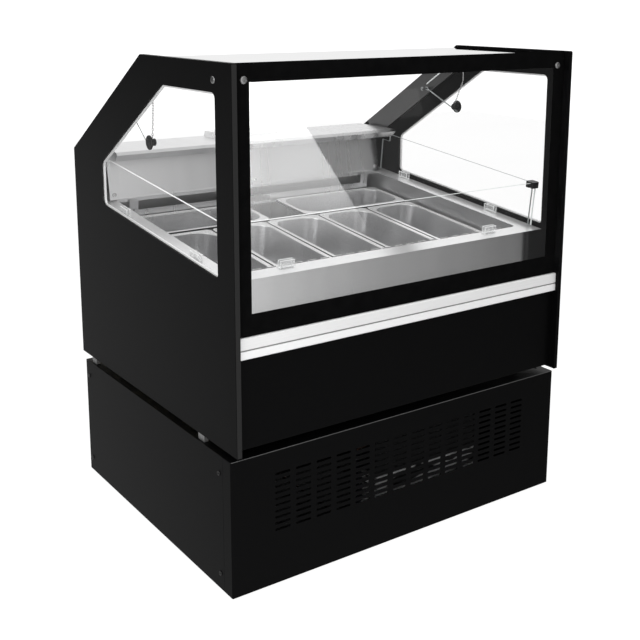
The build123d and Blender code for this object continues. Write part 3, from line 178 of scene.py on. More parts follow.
# %% Helpers for a finish
def new_finish(name, metallic=0.0, specular=0.5):
    """A material with an empty Principled shader, ready for its colour and roughness."""
    material = bpy.data.materials.new(name)
    material.use_nodes = True
    shader = material.node_tree.nodes["Principled BSDF"]
    shader.inputs["Metallic"].default_value = metallic
    shader.inputs["Specular IOR Level"].default_value = specular
    return material, material.node_tree, shader


def wire(tree, shader, colour, roughness, height, strength, distance):
    """Lead a colour, a roughness and a fine relief into a shader."""
    tree.links.new(colour, shader.inputs["Base Color"])
    tree.links.new(roughness, shader.inputs["Roughness"])
    bump = put(tree, "ShaderNodeBump", {"Height": height, "Strength": strength, "Distance": distance})
    tree.links.new(bump.outputs["Normal"], shader.inputs["Normal"])


finishes = {}
node_finishes = {}

# %% [markdown]
# ## Black powder coat
# The body and the plinth wear a fine-textured black coat. It is almost without colour of its own and
# shows mostly what it mirrors: the left side catches the pale room behind it, the front stays dark. A
# plain black would look cut out, so a grain of under a millimetre breaks the gloss. Along the fold at
# the top of the plinth and down the front edge of the left panel a grey line is painted on the coat: a
# painted highlight where these rounded edges catch the light. Those edges are found by the way they face.

# %% Black powder coat
def powder_coat(name, highlight_way=None, highlight_grey=0.0):
    """Black coat, with a grey painted highlight on edges that face one way."""
    material, tree, shader = new_finish(name, specular=0.06)
    grain = speckle(tree, 1500.0, detail=1.0)
    coat = tones(tree, grain, (0.0012, 0.0012, 0.0013), (0.0026, 0.0026, 0.0028))
    if highlight_way:
        # Painted highlight: faces that look this way are made grey.
        highlighted = spread(tree, facing(tree, highlight_way), 0.80, 0.95)
        coat = blend_colours(tree, highlighted, coat, (highlight_grey, highlight_grey, highlight_grey, 1.0))
    wire(tree, shader, coat, between(tree, grain, 0.30, 0.38), grain, 0.10, 0.0003)
    return material


finishes["black_paint"] = powder_coat("black_powder_coat")
# The plinth's top fold and the left panel's front edge get the painted highlight.
node_finishes["base_front_grille"] = powder_coat("plinth_coat_with_painted_highlight", (0, -0.7, 0.7), 0.10)
node_finishes["side_panel_left"] = powder_coat("panel_coat_with_painted_highlight", (0, -1, 0), 0.020)
print("pieces with a rubbed edge:", sorted(node_finishes))

# %% [markdown]
# ## Brushed steel
# The deck, the housing and the worktop are brushed along their length. A plain metal would mirror the
# room too sharply: brush lines smear a reflection across themselves, which gives the real sheets their
# soft upright bands. That is what Anisotropic does, with the brush direction as its Tangent. The
# direction lies a hair off the X axis, so that faces across X still have one. The flat top of the deck
# is made a little less metallic, so that it looks almost white: a painted highlight on faces that look up.

# %% Brushed steel
deck_tilt = math.radians(6)
deck_up = Vector((0, -math.sin(deck_tilt), math.cos(deck_tilt)))
deck_back = Vector((0, math.cos(deck_tilt), math.sin(deck_tilt)))


def brushed_steel(name, dark, light, smooth, rough, top_highlight_metal=1.0):
    """Steel brushed along X, which smears what it mirrors across the lines."""
    material, tree, shader = new_finish(name, metallic=1.0)
    brush = speckle(tree, 1.0, (3.0, 1100.0, 1100.0), 2.0)
    bands = speckle(tree, 1.0, (16.0, 0.4, 0.4), 1.0)
    wire(tree, shader, tones(tree, bands, (dark, dark, dark * 1.005), (light, light, light * 1.005)),
         between(tree, bands, smooth, rough), brush, 0.002, 0.0001)
    lines = put(tree, "ShaderNodeCombineXYZ", {"X": 1.0, "Y": 0.01, "Z": 0.02})
    tree.links.new(lines.outputs["Vector"], shader.inputs["Tangent"])
    shader.inputs["Anisotropic"].default_value = 0.8
    shader.inputs["Anisotropic Rotation"].default_value = 0.25
    # Faces that look up along the deck are made less metallic: a painted highlight.
    if top_highlight_metal < 1.0:
        top_highlight = spread(tree, facing(tree, deck_up), 0.90, 0.98, 1.0, top_highlight_metal)
        tree.links.new(top_highlight, shader.inputs["Metallic"])
    return material


finishes["stainless"] = brushed_steel("brushed_stainless", 0.81, 0.88, 0.26, 0.30)
node_finishes["deck_rim"] = brushed_steel("bright_deck_steel", 0.87, 0.92, 0.17, 0.22, 0.55)
node_finishes["flap_rails"] = brushed_steel("shaded_rail_steel", 0.22, 0.28, 0.26, 0.32)
print("deck leans by", round(math.degrees(deck_tilt), 1), "degrees")

# %% [markdown]
# ## Tank and pans
# The pans are pressed from satin steel, and the tank round them is duller. One plain steel would do for
# a pan by itself, but in the deck its flat rim gets a painted highlight, almost white and less metallic,
# and the rolled outer edge of the rim gets a painted shade, dark as in the gap beside the next pan. Both
# are found by how far they lie below the rim, square to the tilted deck, so every pan gets a finish that
# is measured from its own box.

# %% Tank steel
material, tree, shader = new_finish("tank_steel", metallic=0.9)
grain = speckle(tree, 700.0, detail=2.0)
wire(tree, shader, tones(tree, grain, (0.56, 0.56, 0.565), (0.64, 0.64, 0.645)),
     between(tree, grain, 0.34, 0.42), grain, 0.01, 0.0001)
node_finishes["tank_liner"] = material
print("tank finish:", material.name)


# %% Pan steel
def pan_steel(node):
    """Satin pressed steel, with a painted highlight on the flat rim and painted shade on its outer edges."""
    low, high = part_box(node)
    middle = (low + high) / 2
    half = (high - low) / 2
    rim = Vector((middle.x, middle.y, high.z - half.y * math.tan(deck_tilt)))
    material, tree, shader = new_finish("steel_of_" + node, metallic=1.0)
    grain = speckle(tree, 900.0, detail=2.0)
    satin = tones(tree, grain, (0.80, 0.80, 0.805), (0.86, 0.86, 0.865))
    level = reach(tree, place_from(tree, rim, (1, 1, 1)), deck_up)
    # Painted highlight: the flat rim, which faces up, is made pale and less metallic.
    top_highlight = reckon(tree, "MULTIPLY", spread(tree, facing(tree, deck_up), 0.93, 0.98),
                  spread(tree, level, -0.006, -0.003))
    normal = put(tree, "ShaderNodeTexCoord").outputs["Normal"]
    outward = reach(tree, place_from(tree, rim, (half.x, half.y, 1000.0)), normal)
    # Painted shade: the rolled outer edge of the rim, just below it and facing outwards, is made dark.
    rim_edge_shade = reckon(tree, "MULTIPLY", spread(tree, outward, 0.2, 0.45), spread(tree, level, -0.018, -0.012))
    pale = blend_colours(tree, top_highlight, satin, (0.95, 0.95, 0.95, 1.0))
    dark = blend_colours(tree, rim_edge_shade, pale, (0.04, 0.04, 0.04, 1.0))
    wire(tree, shader, dark, between(tree, grain, 0.24, 0.30), grain, 0.004, 0.0001)
    tree.links.new(spread(tree, top_highlight, 0.0, 1.0, 1.0, 0.45), shader.inputs["Metallic"])
    return material


for part in frame["record"]["subparts"]:
    if part["material_slot"] == "pan_steel":
        node_finishes[part["node"]] = pan_steel(part["node"])
        print("pan finish:", node_finishes[part["node"]].name)

# %% [markdown]
# ## Screws, bolts and hooks
# Hooks, chains and the housing's screws are polished, the bolts of the glass are duller, and the
# plinth's screws are blackened. Each could be set up by itself, but they differ only in tone, so one
# loop makes all three. A soft cloud of noise keeps the metal from looking like a perfect mirror.

# %% Polished, bolt and blackened steel
for name, dark, light in (
    ("polished_steel", 0.62, 0.78),
    ("bolt_steel", 0.36, 0.44),
    ("blackened_steel", 0.03, 0.06),
):
    material, tree, shader = new_finish(name, metallic=1.0)
    cloud = speckle(tree, 160.0)
    wire(tree, shader, tones(tree, cloud, (dark, dark, dark), (light, light, light)),
         between(tree, cloud, 0.16, 0.28), cloud, 0.02, 0.0002)
    finishes[name] = material
finishes["bright_steel"] = finishes["polished_steel"]
print("steels:", [name for name in finishes if name.endswith("steel")])

# %% [markdown]
# ## Aluminium
# The bars between the window panes and the comb in front of the pans are satin aluminium that reads as
# nearly white, and so is the bumper rail. Its lower band is painted brighter, a painted highlight, and
# the groove above it is painted as a dark grey line, a painted shade. The blocks in the neck take a
# darker copy: painted shade. The bands could be separate pieces, but the rail is one drawn section, so
# its finish changes with the height instead.

# %% Aluminium
lower_band = 0.020
groove_half = 0.0014
bumper_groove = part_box("bumper_rail")[0].z + lower_band
for name, metallic, dark, light in (
    ("satin_aluminium", 0.5, 0.91, 0.96),
    ("shaded_aluminium", 0.8, 0.30, 0.36),
    ("bumper_aluminium", 0.35, 0.86, 0.90),
):
    material, tree, shader = new_finish(name, metallic=metallic)
    drawn = speckle(tree, 1.0, (4.0, 500.0, 500.0), 2.0)
    satin = tones(tree, drawn, (dark, dark, dark), (light, light, light))
    if name == "bumper_aluminium":
        # Painted highlight: the band below the groove is brighter. Painted shade: a dark grey line in the
        # groove.
        rise = reckon(tree, "SUBTRACT", along(tree, "Z"), bumper_groove)
        satin = blend_colours(tree, reckon(tree, "LESS_THAN", rise, 0.0), satin, (0.97, 0.97, 0.97, 1.0))
        groove_shade = reckon(tree, "LESS_THAN", reckon(tree, "ABSOLUTE", rise), groove_half)
        satin = blend_colours(tree, groove_shade, satin, (0.40, 0.40, 0.40, 1.0))
    wire(tree, shader, satin, between(tree, drawn, 0.38, 0.42), drawn, 0.01, 0.0002)
    finishes[name] = material
finishes["aluminium"] = finishes["satin_aluminium"]
node_finishes["air_comb"] = finishes["satin_aluminium"]
# The neck's blocks take a darker copy of the aluminium: painted shade.
node_finishes["neck_spacers"] = finishes["shaded_aluminium"]
node_finishes["bumper_rail"] = finishes["bumper_aluminium"]
print("bumper bands meet at", round(bumper_groove, 4), "m")

# %% [markdown]
# ## The machine and the foam
# Behind the grille stands the machine: sheets of zinc with its spangle, tarnished copper, and a
# condenser whose fins are painted near black, a painted shade for the dark inside of the plinth. Pale
# patches low down, behind the lowest slots, are painted glints of bare metal.
# The foam round the tank is pale, but black for its first 50 mm at the front, where it shows when the
# glass is lifted. Little of this is seen, so each finish is not much more than one noise and two tones.

# %% Zinc, and fins with painted shade and glints
material, tree, shader = new_finish("spangled_zinc", metallic=1.0)
coords = put(tree, "ShaderNodeTexCoord").outputs["Object"]
spangle = put(tree, "ShaderNodeTexVoronoi", {"Vector": coords, "Scale": 90.0}).outputs["Color"]
wire(tree, shader, tones(tree, spangle, (0.42, 0.43, 0.44), (0.62, 0.63, 0.64)),
     between(tree, spangle, 0.38, 0.52), spangle, 0.02, 0.0002)
finishes["galvanised"] = material

material, tree, shader = new_finish("shaded_fins_with_glints", metallic=0.4, specular=0.2)
fins = speckle(tree, 1.0, (700.0, 40.0, 3.0), 1.0)
# Painted shade: the fins are near black. Painted glints: pale patches of bare metal, only low down.
glint_patches = spread(tree, speckle(tree, 1.0, (16.0, 1.0, 60.0), 1.0), 0.42, 0.50)
painted_glints = reckon(tree, "MULTIPLY", glint_patches, spread(tree, along(tree, "Z"), 0.152, 0.142))
shaded_fins = tones(tree, fins, (0.010, 0.010, 0.010), (0.040, 0.040, 0.040))
wire(tree, shader, blend_colours(tree, painted_glints, shaded_fins, (0.9, 0.9, 0.9, 1.0)),
     between(tree, fins, 0.5, 0.7), fins, 0.2, 0.001)
node_finishes["condenser_coil"] = material
print("condenser finish:", material.name)

# %% Copper and foam
material, tree, shader = new_finish("drawn_copper", metallic=1.0)
cloud = speckle(tree, 60.0)
wire(tree, shader, tones(tree, cloud, (0.060, 0.034, 0.024), (0.110, 0.060, 0.040)),
     between(tree, cloud, 0.40, 0.52), cloud, 0.04, 0.0003)
finishes["copper"] = material

material, tree, shader = new_finish("pale_foam", specular=0.2)
cells = speckle(tree, 420.0)
raw = tones(tree, cells, (0.74, 0.64, 0.36), (0.86, 0.77, 0.50))
# The foam is made black over the front 50 mm of its depth.
darkened_depth = 0.05
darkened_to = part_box("tank_insulation")[0].y + darkened_depth
darkened = reckon(tree, "LESS_THAN", along(tree, "Y"), darkened_to)
wire(tree, shader, blend_colours(tree, darkened, raw, (0.006, 0.006, 0.006, 1.0)),
     between(tree, cells, 0.75, 0.9), cells, 0.2, 0.001)
finishes["foam"] = material
print("foam is sealed in front of y =", round(darkened_to, 4), "m")

# %% [markdown]
# ## Plastics
# Feet, knobs, connectors and the controller are moulded: a satin black or pale grey with a slight
# orange-peel relief from the mould. The relief is too fine to model, so a noise of about three
# millimetres goes into a Bump node, and the same noise varies the tone and the gloss a little.

# %% Black and pale plastic
for slot, name, dark, light in (
    ("black_plastic", "moulded_black", 0.006, 0.011),
    ("pale_plastic", "moulded_pale", 0.84, 0.88),
):
    material, tree, shader = new_finish(name, specular=0.4)
    peel = speckle(tree, 320.0)
    wire(tree, shader, tones(tree, peel, (dark, dark, dark), (light, light, light)),
         between(tree, peel, 0.32, 0.44), peel, 0.06, 0.0003)
    finishes[slot] = material
    print(slot, "finish:", name)

# %% [markdown]
# ## Clear panes
# A flat pane hardly bends what is seen through it. Real refraction would cost many light bounces for
# ten panes in a row, so each pane is a Transparent shader with a little Glossy on top, and the gloss
# grows towards the grazing angle as on real glass. The ground edges of the real panes show as thin
# lines, because light runs inside the glass and leaves there. Here that light is painted on the edges
# as a colour, a painted highlight: bright on the left, where it leaves towards the camera, greyer on the
# right. The edges that show are named by the way they face. The roof is seen almost edge-on and mirrors
# the pale room so well that little shows through it.

# %% Helper for a clear pane
def clear_pane(name, edge_left=None, edge_right=None, edge_ways=(),
               level=0.006, grazing=0.25, power=5.0, grey=1.0):
    """A see-through finish; faces that look one of the edge ways show the pane's ground edge."""
    material = bpy.data.materials.new(name)
    material.use_nodes = True
    tree = material.node_tree
    tree.nodes.remove(tree.nodes["Principled BSDF"])
    slant = put(tree, "ShaderNodeLayerWeight", {"Blend": 0.5}).outputs["Facing"]
    share = reckon(tree, "MULTIPLY_ADD", reckon(tree, "POWER", slant, power), grazing, level)
    outer = reckon(tree, "SUBTRACT", 1.0, put(tree, "ShaderNodeNewGeometry").outputs["Backfacing"])
    through = put(tree, "ShaderNodeBsdfTransparent").outputs["BSDF"]
    wipe = between(tree, speckle(tree, 6.0), 0.01, 0.03)
    gloss = put(tree, "ShaderNodeBsdfGlossy", {"Color": (grey, grey, grey, 1.0), "Roughness": wipe})
    pane = put(tree, "ShaderNodeMixShader",
               {0: reckon(tree, "MULTIPLY", share, outer), 1: through, 2: gloss.outputs["BSDF"]})
    surface = pane.outputs["Shader"]
    if edge_ways:
        nearest = 0.0
        for way in edge_ways:
            nearest = reckon(tree, "MAXIMUM", facing(tree, way), nearest)
        # The edge's tone runs from left to right; bright or grey, it is painted light leaving the glass.
        tone = tones(tree, reckon(tree, "ADD", along(tree, "X"), 0.5), edge_left, edge_right)
        ground = put(tree, "ShaderNodeBsdfPrincipled", {"Base Color": tone, "Roughness": 0.35})
        whole = put(tree, "ShaderNodeMixShader",
                    {0: reckon(tree, "GREATER_THAN", nearest, 0.6), 1: surface, 2: ground.outputs["BSDF"]})
        surface = whole.outputs["Shader"]
    tree.links.new(surface, tree.nodes["Material Output"].inputs["Surface"])
    return material


# %% Clear panes with ground edges
ends = (Vector((-1, 0, 0)), Vector((1, 0, 0)))
upright = (Vector((0, 0, -1)), Vector((0, 0, 1)))
black_edge = (0.004, 0.004, 0.004)
bright_edge = (0.95, 0.97, 0.96)
pale_edge = (0.74, 0.77, 0.76)
grey_edge = (0.34, 0.36, 0.36)
front_level = 0.07
node_finishes.update({
    "front_glass": clear_pane("front_pane", black_edge, black_edge, (*ends, *upright), level=front_level),
    "roof_glass": clear_pane("roof_pane", level=0.12, grazing=0.92, power=1.2, grey=0.86),
    "side_windows": clear_pane("window_pane"),
    "guard_front_pane": clear_pane("guard_front", bright_edge, pale_edge, (deck_up, *ends)),
    "guard_side_panes": clear_pane("guard_side", bright_edge, grey_edge, (deck_up, deck_back, -deck_back)),
    "rear_screen": clear_pane("screen_pane", pale_edge, pale_edge, ends),
    "flap": clear_pane("flap_pane", grey_edge, grey_edge, ends),
    "guard_clips": clear_pane("clear_acrylic", level=0.03),
})
print("pieces with a finish of their own:", len(node_finishes))

# %% [markdown]
# ## Finishes on the pieces
# The record that came with the frame names a material slot for every piece. Most pieces take the
# finish of their slot, and those that were given one of their own above take that. A piece's finish
# goes into the material slot of its object, so its mesh stays as CAD made it.

# %% Give every CAD piece its finish
used = set()
for part in frame["record"]["subparts"]:
    name = part["node"]
    finish = node_finishes.get(name) or finishes[part["material_slot"]]
    nodes[name].material_slots[0].material = finish
    used.add(finish.name)
print("finishes in use:", len(used))

# %% [markdown]
# ## The printed border of the front glass
# The front glass has a black border round its edge, wider at the foot, that hides what the glass is
# fixed to. It could be painted in the glass's material, but a thin matt sheet on the glass stays black
# where the glass itself mirrors the room, and it moves with the glass. It stands a few millimetres
# over the top edge, as the black seal there does. A plane is cut at the four inner lines, the middle
# is taken out, and the ring is given a little thickness.

# %% Helpers for selecting
def only(piece):
    """Make one object the selected and active one."""
    bpy.ops.object.select_all(action="DESELECT")
    piece.select_set(True)
    bpy.context.view_layer.objects.active = piece


def pick_faces(piece, test):
    """In edit mode, select the faces whose centre and normal pass a test."""
    bpy.ops.mesh.select_all(action="DESELECT")
    bpy.ops.object.mode_set(mode="OBJECT")
    for face in piece.data.polygons:
        face.select = test(face.center, face.normal)
    bpy.ops.object.mode_set(mode="EDIT")
    bpy.ops.mesh.select_mode(type="FACE")


# %% Printed border
glass_low, glass_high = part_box("front_glass")
clear_half = 0.4355
clear_foot = 0.645
clear_head = 1.124
print_depth = 0.0003
print_inset = 0.0005
print_foot = glass_low.z + print_inset
print_head = glass_high.z + 0.0034
print_middle = (print_foot + print_head) / 2
bpy.ops.mesh.primitive_plane_add(size=1.0, location=(0, glass_low.y - print_depth, print_middle),
                                 rotation=(math.pi / 2, 0, 0))
glass_border = bpy.context.object
glass_border.name = "glass_border"
glass_border.scale = (glass_high.x - glass_low.x - 2 * print_inset, print_head - print_foot, 1.0)
bpy.ops.object.transform_apply(location=True, rotation=True, scale=True)
bpy.ops.object.mode_set(mode="EDIT")
for point, normal in (((-clear_half, 0, 0), (1, 0, 0)), ((clear_half, 0, 0), (1, 0, 0)),
                      ((0, 0, clear_foot), (0, 0, 1)), ((0, 0, clear_head), (0, 0, 1))):
    bpy.ops.mesh.select_all(action="SELECT")
    bpy.ops.mesh.bisect(plane_co=point, plane_no=normal)
pick_faces(glass_border, lambda centre, normal: abs(centre.x) < clear_half
           and clear_foot < centre.z < clear_head)
bpy.ops.mesh.delete(type="FACE")
bpy.ops.mesh.select_all(action="SELECT")
bpy.ops.mesh.extrude_region_move(TRANSFORM_OT_translate={"value": (0, print_depth, 0)})
bpy.ops.mesh.select_all(action="SELECT")
bpy.ops.mesh.normals_make_consistent(inside=False)
bpy.ops.object.mode_set(mode="OBJECT")
print("border faces:", len(glass_border.data.polygons))

# %% Black print
material, tree, shader = new_finish("black_print", specular=0.0)
film = speckle(tree, 40.0)
wire(tree, shader, tones(tree, film, (0.0030, 0.0030, 0.0031), (0.0040, 0.0040, 0.0041)),
     between(tree, film, 0.4, 0.5), film, 0.01, 0.0002)
glass_border.data.materials.append(material)
glass_border.visible_glossy = False
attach(glass_border, "front_glass")
print("border finish:", material.name)

# %% [markdown]
# ## Screws and caps
# The plinth's sides are held by blackened pan-head screws with a cross recess, and the same screws, in
# bright steel, hold the housing. The glass hangs on button-head bolts with a hexagon socket. A recess
# could be painted on, but it would have no depth of its own and be missing from the mesh, so each head
# is a cylinder whose rim is bevelled round, with its recess cut by a Boolean. One of each is modelled
# standing on the floor at the origin; the copies are then turned to face outwards, set in their places
# and joined.

# %% Helpers for turned pieces
def cylinder(radius, height, sides):
    """A cylinder that stands on the floor at the origin."""
    bpy.ops.object.select_all(action="DESELECT")
    bpy.ops.mesh.primitive_cylinder_add(vertices=sides, radius=radius, depth=height,
                                        location=(0, 0, height / 2))
    bpy.ops.object.transform_apply(location=True)
    return bpy.context.object


def cut_out(piece, cutter):
    """Take one shape out of another."""
    only(piece)
    cutting = piece.modifiers.new("recess", "BOOLEAN")
    cutting.operation = "DIFFERENCE"
    cutting.object = cutter
    bpy.ops.object.modifier_apply(modifier=cutting.name)
    bpy.data.objects.remove(cutter)


def round_rim(piece, offset):
    """Bevel the rim of a cylinder's top face."""
    only(piece)
    bpy.ops.object.mode_set(mode="EDIT")
    pick_faces(piece, lambda centre, normal: normal.z > 0.9)
    bpy.ops.mesh.bevel(offset=offset, segments=4, affect="EDGES")
    bpy.ops.object.mode_set(mode="OBJECT")


def add_stem(piece, step, length):
    """Draw the bottom face in by a step and pull it down to a stem."""
    bpy.ops.object.mode_set(mode="EDIT")
    pick_faces(piece, lambda centre, normal: normal.z < -0.9)
    bpy.ops.mesh.inset(thickness=step, depth=0.0)
    bpy.ops.mesh.extrude_region_move(TRANSFORM_OT_translate={"value": (0, 0, -length)})
    bpy.ops.object.mode_set(mode="OBJECT")


# %% Helper for copies
def set_copies(source, name, places):
    """Copy a piece to each place, facing its outward way with its own finish, and join the copies."""
    copies = []
    for point, outward, finish in places:
        copy = source.copy()
        copy.data = source.data.copy()
        scene.collection.objects.link(copy)
        turn = Vector((0, 0, 1)).rotation_difference(Vector(outward)).to_matrix().to_4x4()
        copy.data.transform(Matrix.Translation(point) @ turn)
        copy.data.materials.append(finish)
        copies.append(copy)
    bpy.data.objects.remove(source)
    only(copies[0])
    for copy in copies:
        copy.select_set(True)
    bpy.ops.object.join()
    joined = bpy.context.object
    joined.name = name
    bpy.ops.object.shade_smooth_by_angle(angle=math.radians(35))
    print(name, "copies:", len(places), "faces:", len(joined.data.polygons))
    return joined


# %% One cross-recess screw
head_radius = 0.0056
head_height = 0.0022
recess_turn = 0.4
recess_size = (0.0054, 0.0013, 0.0024)
screw = cylinder(head_radius, head_height, sides=20)
round_rim(screw, offset=0.0014)
for angle in (0.0, math.pi / 2):
    bpy.ops.object.select_all(action="DESELECT")
    bpy.ops.mesh.primitive_cube_add(size=1.0, location=(0, 0, head_height),
                                    rotation=(0, 0, angle + recess_turn), scale=recess_size)
    cut_out(screw, bpy.context.object)
add_stem(screw, step=0.0036, length=0.0065)
print("screw faces:", len(screw.data.polygons))

# %% Screws of the plinth and the housing
plinth_screw_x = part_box("base_side_panels")[1].x
plinth_screw_y = (-0.3479, 0.3709)
plinth_screw_z = (0.044, 0.282)
housing_screw_x = (-0.428, 0.0, 0.428)
housing_screw_y = 0.29925
housing_screw_z = 0.78604
housing_outward = Vector((0, -0.9879, 0.1551))
screw_places = [((side * plinth_screw_x, y, z), (side, 0, 0), finishes["blackened_steel"])
                for side in (-1, 1) for y in plinth_screw_y for z in plinth_screw_z]
screw_places += [((x, housing_screw_y, housing_screw_z), housing_outward, finishes["bright_steel"])
                 for x in housing_screw_x]
screw_heads = set_copies(screw, "screw_heads", screw_places)
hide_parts("panel_screws")
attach(screw_heads, "case")

# %% Hexagon-socket caps of the glass and its pivots
cap_radius = 0.0079
cap_height = 0.0034
stem_radius = 0.004
socket_radius = 0.0037
socket_depth = 0.0052
glass_cap_x = 0.449
glass_cap_z = 1.129
pivot_x = 0.483
pivot_y = -0.345
pivot_z = 1.127
glass_cap_places = [((side * glass_cap_x, glass_low.y, glass_cap_z), (0, -1, 0), finishes["bolt_steel"])
                    for side in (-1, 1)]
pivot_places = [((side * pivot_x, pivot_y, pivot_z), (side, 0, 0), finishes["bolt_steel"])
                for side in (-1, 1)]
for name, node, body, stem, places in (
    ("glass_cap_heads", "glass_cap_screws", "front_glass", 0.0098, glass_cap_places),
    ("pivot_heads", "hinge_pivots", "case", 0.018, pivot_places),
):
    cap = cylinder(cap_radius, cap_height, sides=28)
    round_rim(cap, offset=0.0018)
    bpy.ops.object.select_all(action="DESELECT")
    bpy.ops.mesh.primitive_cylinder_add(vertices=6, radius=socket_radius, depth=socket_depth,
                                        location=(0, 0, cap_height))
    cut_out(cap, bpy.context.object)
    add_stem(cap, step=cap_radius - stem_radius, length=stem)
    heads = set_copies(cap, name, places)
    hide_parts(node)
    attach(heads, body)

# %% [markdown]
# ## Knobs of the flap
# The knobs at the flap's free corners are black discs with a groove and a boss, on a hub that the
# chain goes round. They could be spun from a profile, but a cylinder is round already, so the groove
# and the boss come from insets of its face, and the hub from an inset of its back.

# %% Knobs of the flap
knob_radius = 0.017
knob_thickness = 0.003
knob_x = 0.4663
knob = cylinder(knob_radius, knob_thickness, sides=36)
round_rim(knob, offset=0.0008)
bpy.ops.object.mode_set(mode="EDIT")
for inset, rise in ((0.0035, -0.0010), (0.0040, 0.0010)):
    pick_faces(knob, lambda centre, normal: normal.z > 0.9 and centre.xy.length < 0.001)
    bpy.ops.mesh.inset(thickness=inset, depth=0.0)
    bpy.ops.mesh.inset(thickness=0.0004, depth=rise)
bpy.ops.object.mode_set(mode="OBJECT")
add_stem(knob, step=0.0085, length=0.0128)
knob_places = [((-knob_x, -0.00583, 0.96119), (-1, 0, 0), finishes["black_plastic"]),
               ((knob_x, -0.02170, 0.99439), (1, 0, 0), finishes["black_plastic"])]
knobs = set_copies(knob, "grooved_knobs", knob_places)
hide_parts("flap_knobs")
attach(knobs, "flap")

# %% [markdown]
# ## Clear clips of the guard
# The guard's panes stand in moulded clips of clear plastic. They show by their edges, which catch the
# light, and by a slight haze. The shape is right in CAD, so its mesh is copied and merged, and a Bevel
# modifier rounds the edges. The modifier can give the faces it makes a finish of their own, and those
# get the bright one: a painted highlight for the light the edges catch.

# %% Clear clips
clips = bpy.data.objects.new("clear_clips", nodes["guard_clips"].data.copy())
scene.collection.objects.link(clips)
only(clips)
bpy.ops.object.mode_set(mode="EDIT")
bpy.ops.mesh.select_all(action="SELECT")
bpy.ops.mesh.remove_doubles(threshold=0.00001)
bpy.ops.mesh.dissolve_limited(angle_limit=math.radians(1))
bpy.ops.mesh.customdata_custom_splitnormals_clear()
bpy.ops.object.mode_set(mode="OBJECT")
print("clip faces before rounding:", len(clips.data.polygons))

# %% Haze and bright edges of the clips
# Painted highlight: the rounded edges take a pale, opaque finish for the light they catch.
material, tree, shader = new_finish("bright_acrylic_edge")
cloud = speckle(tree, 300.0)
wire(tree, shader, tones(tree, cloud, (0.86, 0.87, 0.87), (0.94, 0.95, 0.95)),
     between(tree, cloud, 0.25, 0.35), cloud, 0.02, 0.0002)
hazy = node_finishes["guard_clips"].node_tree
clear = hazy.nodes["Material Output"].inputs["Surface"].links[0].from_socket
haze = put(hazy, "ShaderNodeBsdfPrincipled", {"Base Color": (0.92, 0.93, 0.93, 1.0), "Roughness": 0.4})
moulded = put(hazy, "ShaderNodeMixShader",
              {0: between(hazy, speckle(hazy, 80.0), 0.10, 0.20), 1: clear, 2: haze.outputs["BSDF"]})
hazy.links.new(moulded.outputs["Shader"], hazy.nodes["Material Output"].inputs["Surface"])
clips.data.materials.clear()
clips.data.materials.append(node_finishes["guard_clips"])
clips.data.materials.append(material)
rounding = clips.modifiers.new("rounded edges", "BEVEL")
rounding.width = 0.0009
rounding.segments = 2
rounding.angle_limit = math.radians(40)
rounding.material = 1
bpy.ops.object.modifier_apply(modifier=rounding.name)
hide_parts("guard_clips")
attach(clips, "case")
print("clip faces:", len(clips.data.polygons))

# %% [markdown]
# ## The chains of the flap
# Two thin link chains hang from wire hooks and hold the flap's knobs. The CAD rods only keep their
# place. One link is modelled from a torus, whose two halves are pulled apart. An Array modifier could
# repeat it, but every second link is turned by a quarter, so a loop of copies is simpler. The chain's
# top hangs on the case and its foot on the flap; each chain runs straight between them.

# %% One link
link_wire = 0.0007
link_pitch = 0.0062
link_bend = 0.0017
bpy.ops.object.select_all(action="DESELECT")
bpy.ops.mesh.primitive_torus_add(major_segments=14, minor_segments=6,
                                 major_radius=link_bend, minor_radius=link_wire)
link = bpy.context.object
link_reach = (link_pitch + 2 * link_wire) / 2 - link_bend
for side in (-1, 1):
    bpy.ops.object.mode_set(mode="EDIT")
    pick_faces(link, lambda centre, normal: centre.x * side > 0.0002)
    bpy.ops.transform.translate(value=(side * link_reach, 0, 0))
    bpy.ops.object.mode_set(mode="OBJECT")
bpy.ops.object.shade_smooth()
print("link reaches", round(2 * (link_reach + link_bend + link_wire) * 1000, 2), "mm")

# %% Link chains
link_roll = 0.35
for name, top, foot in (
    ("chain_left", Vector((-0.471, -0.040, 1.0658)), Vector((-0.4595, -0.00583, 0.97169))),
    ("chain_right", Vector((0.471, -0.040, 1.0658)), Vector((0.4595, -0.0217, 1.00489))),
):
    span = foot - top
    count = max(2, round(span.length / link_pitch))
    turn = span.to_track_quat("X", "Z")
    links = []
    for index in range(count):
        copy = link.copy()
        copy.data = link.data.copy()
        scene.collection.objects.link(copy)
        roll = Quaternion((1, 0, 0), math.pi / 2 * (index % 2) + link_roll)
        centre = top + span * ((index + 0.5) / count)
        copy.data.transform(Matrix.Translation(centre) @ (turn @ roll).to_matrix().to_4x4())
        links.append(copy)
    only(links[0])
    for copy in links:
        copy.select_set(True)
    bpy.ops.object.join()
    chain = bpy.context.object
    chain.name = name + "_links"
    chain.data.materials.append(finishes["bright_steel"])
    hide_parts(name)
    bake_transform(chain)
    print(chain.name, "links:", count, "faces:", len(chain.data.polygons))
bpy.data.objects.remove(link)

# %% [markdown]
# ## Floor and light
# The photograph is a cut-out on white. A pale floor with a soft shadow grounds the case, and it is
# white to the camera, as is the sky behind it. Metal and gloss see a quieter room instead: pale behind,
# grey overhead, bright ahead on the left and dark ahead on the right, as in a shop with its window on
# one side. That gives steel its contrast and keeps the front of the case black. Two of the three soft
# lamps don't show in the steel, which would only turn white where it mirrors them.

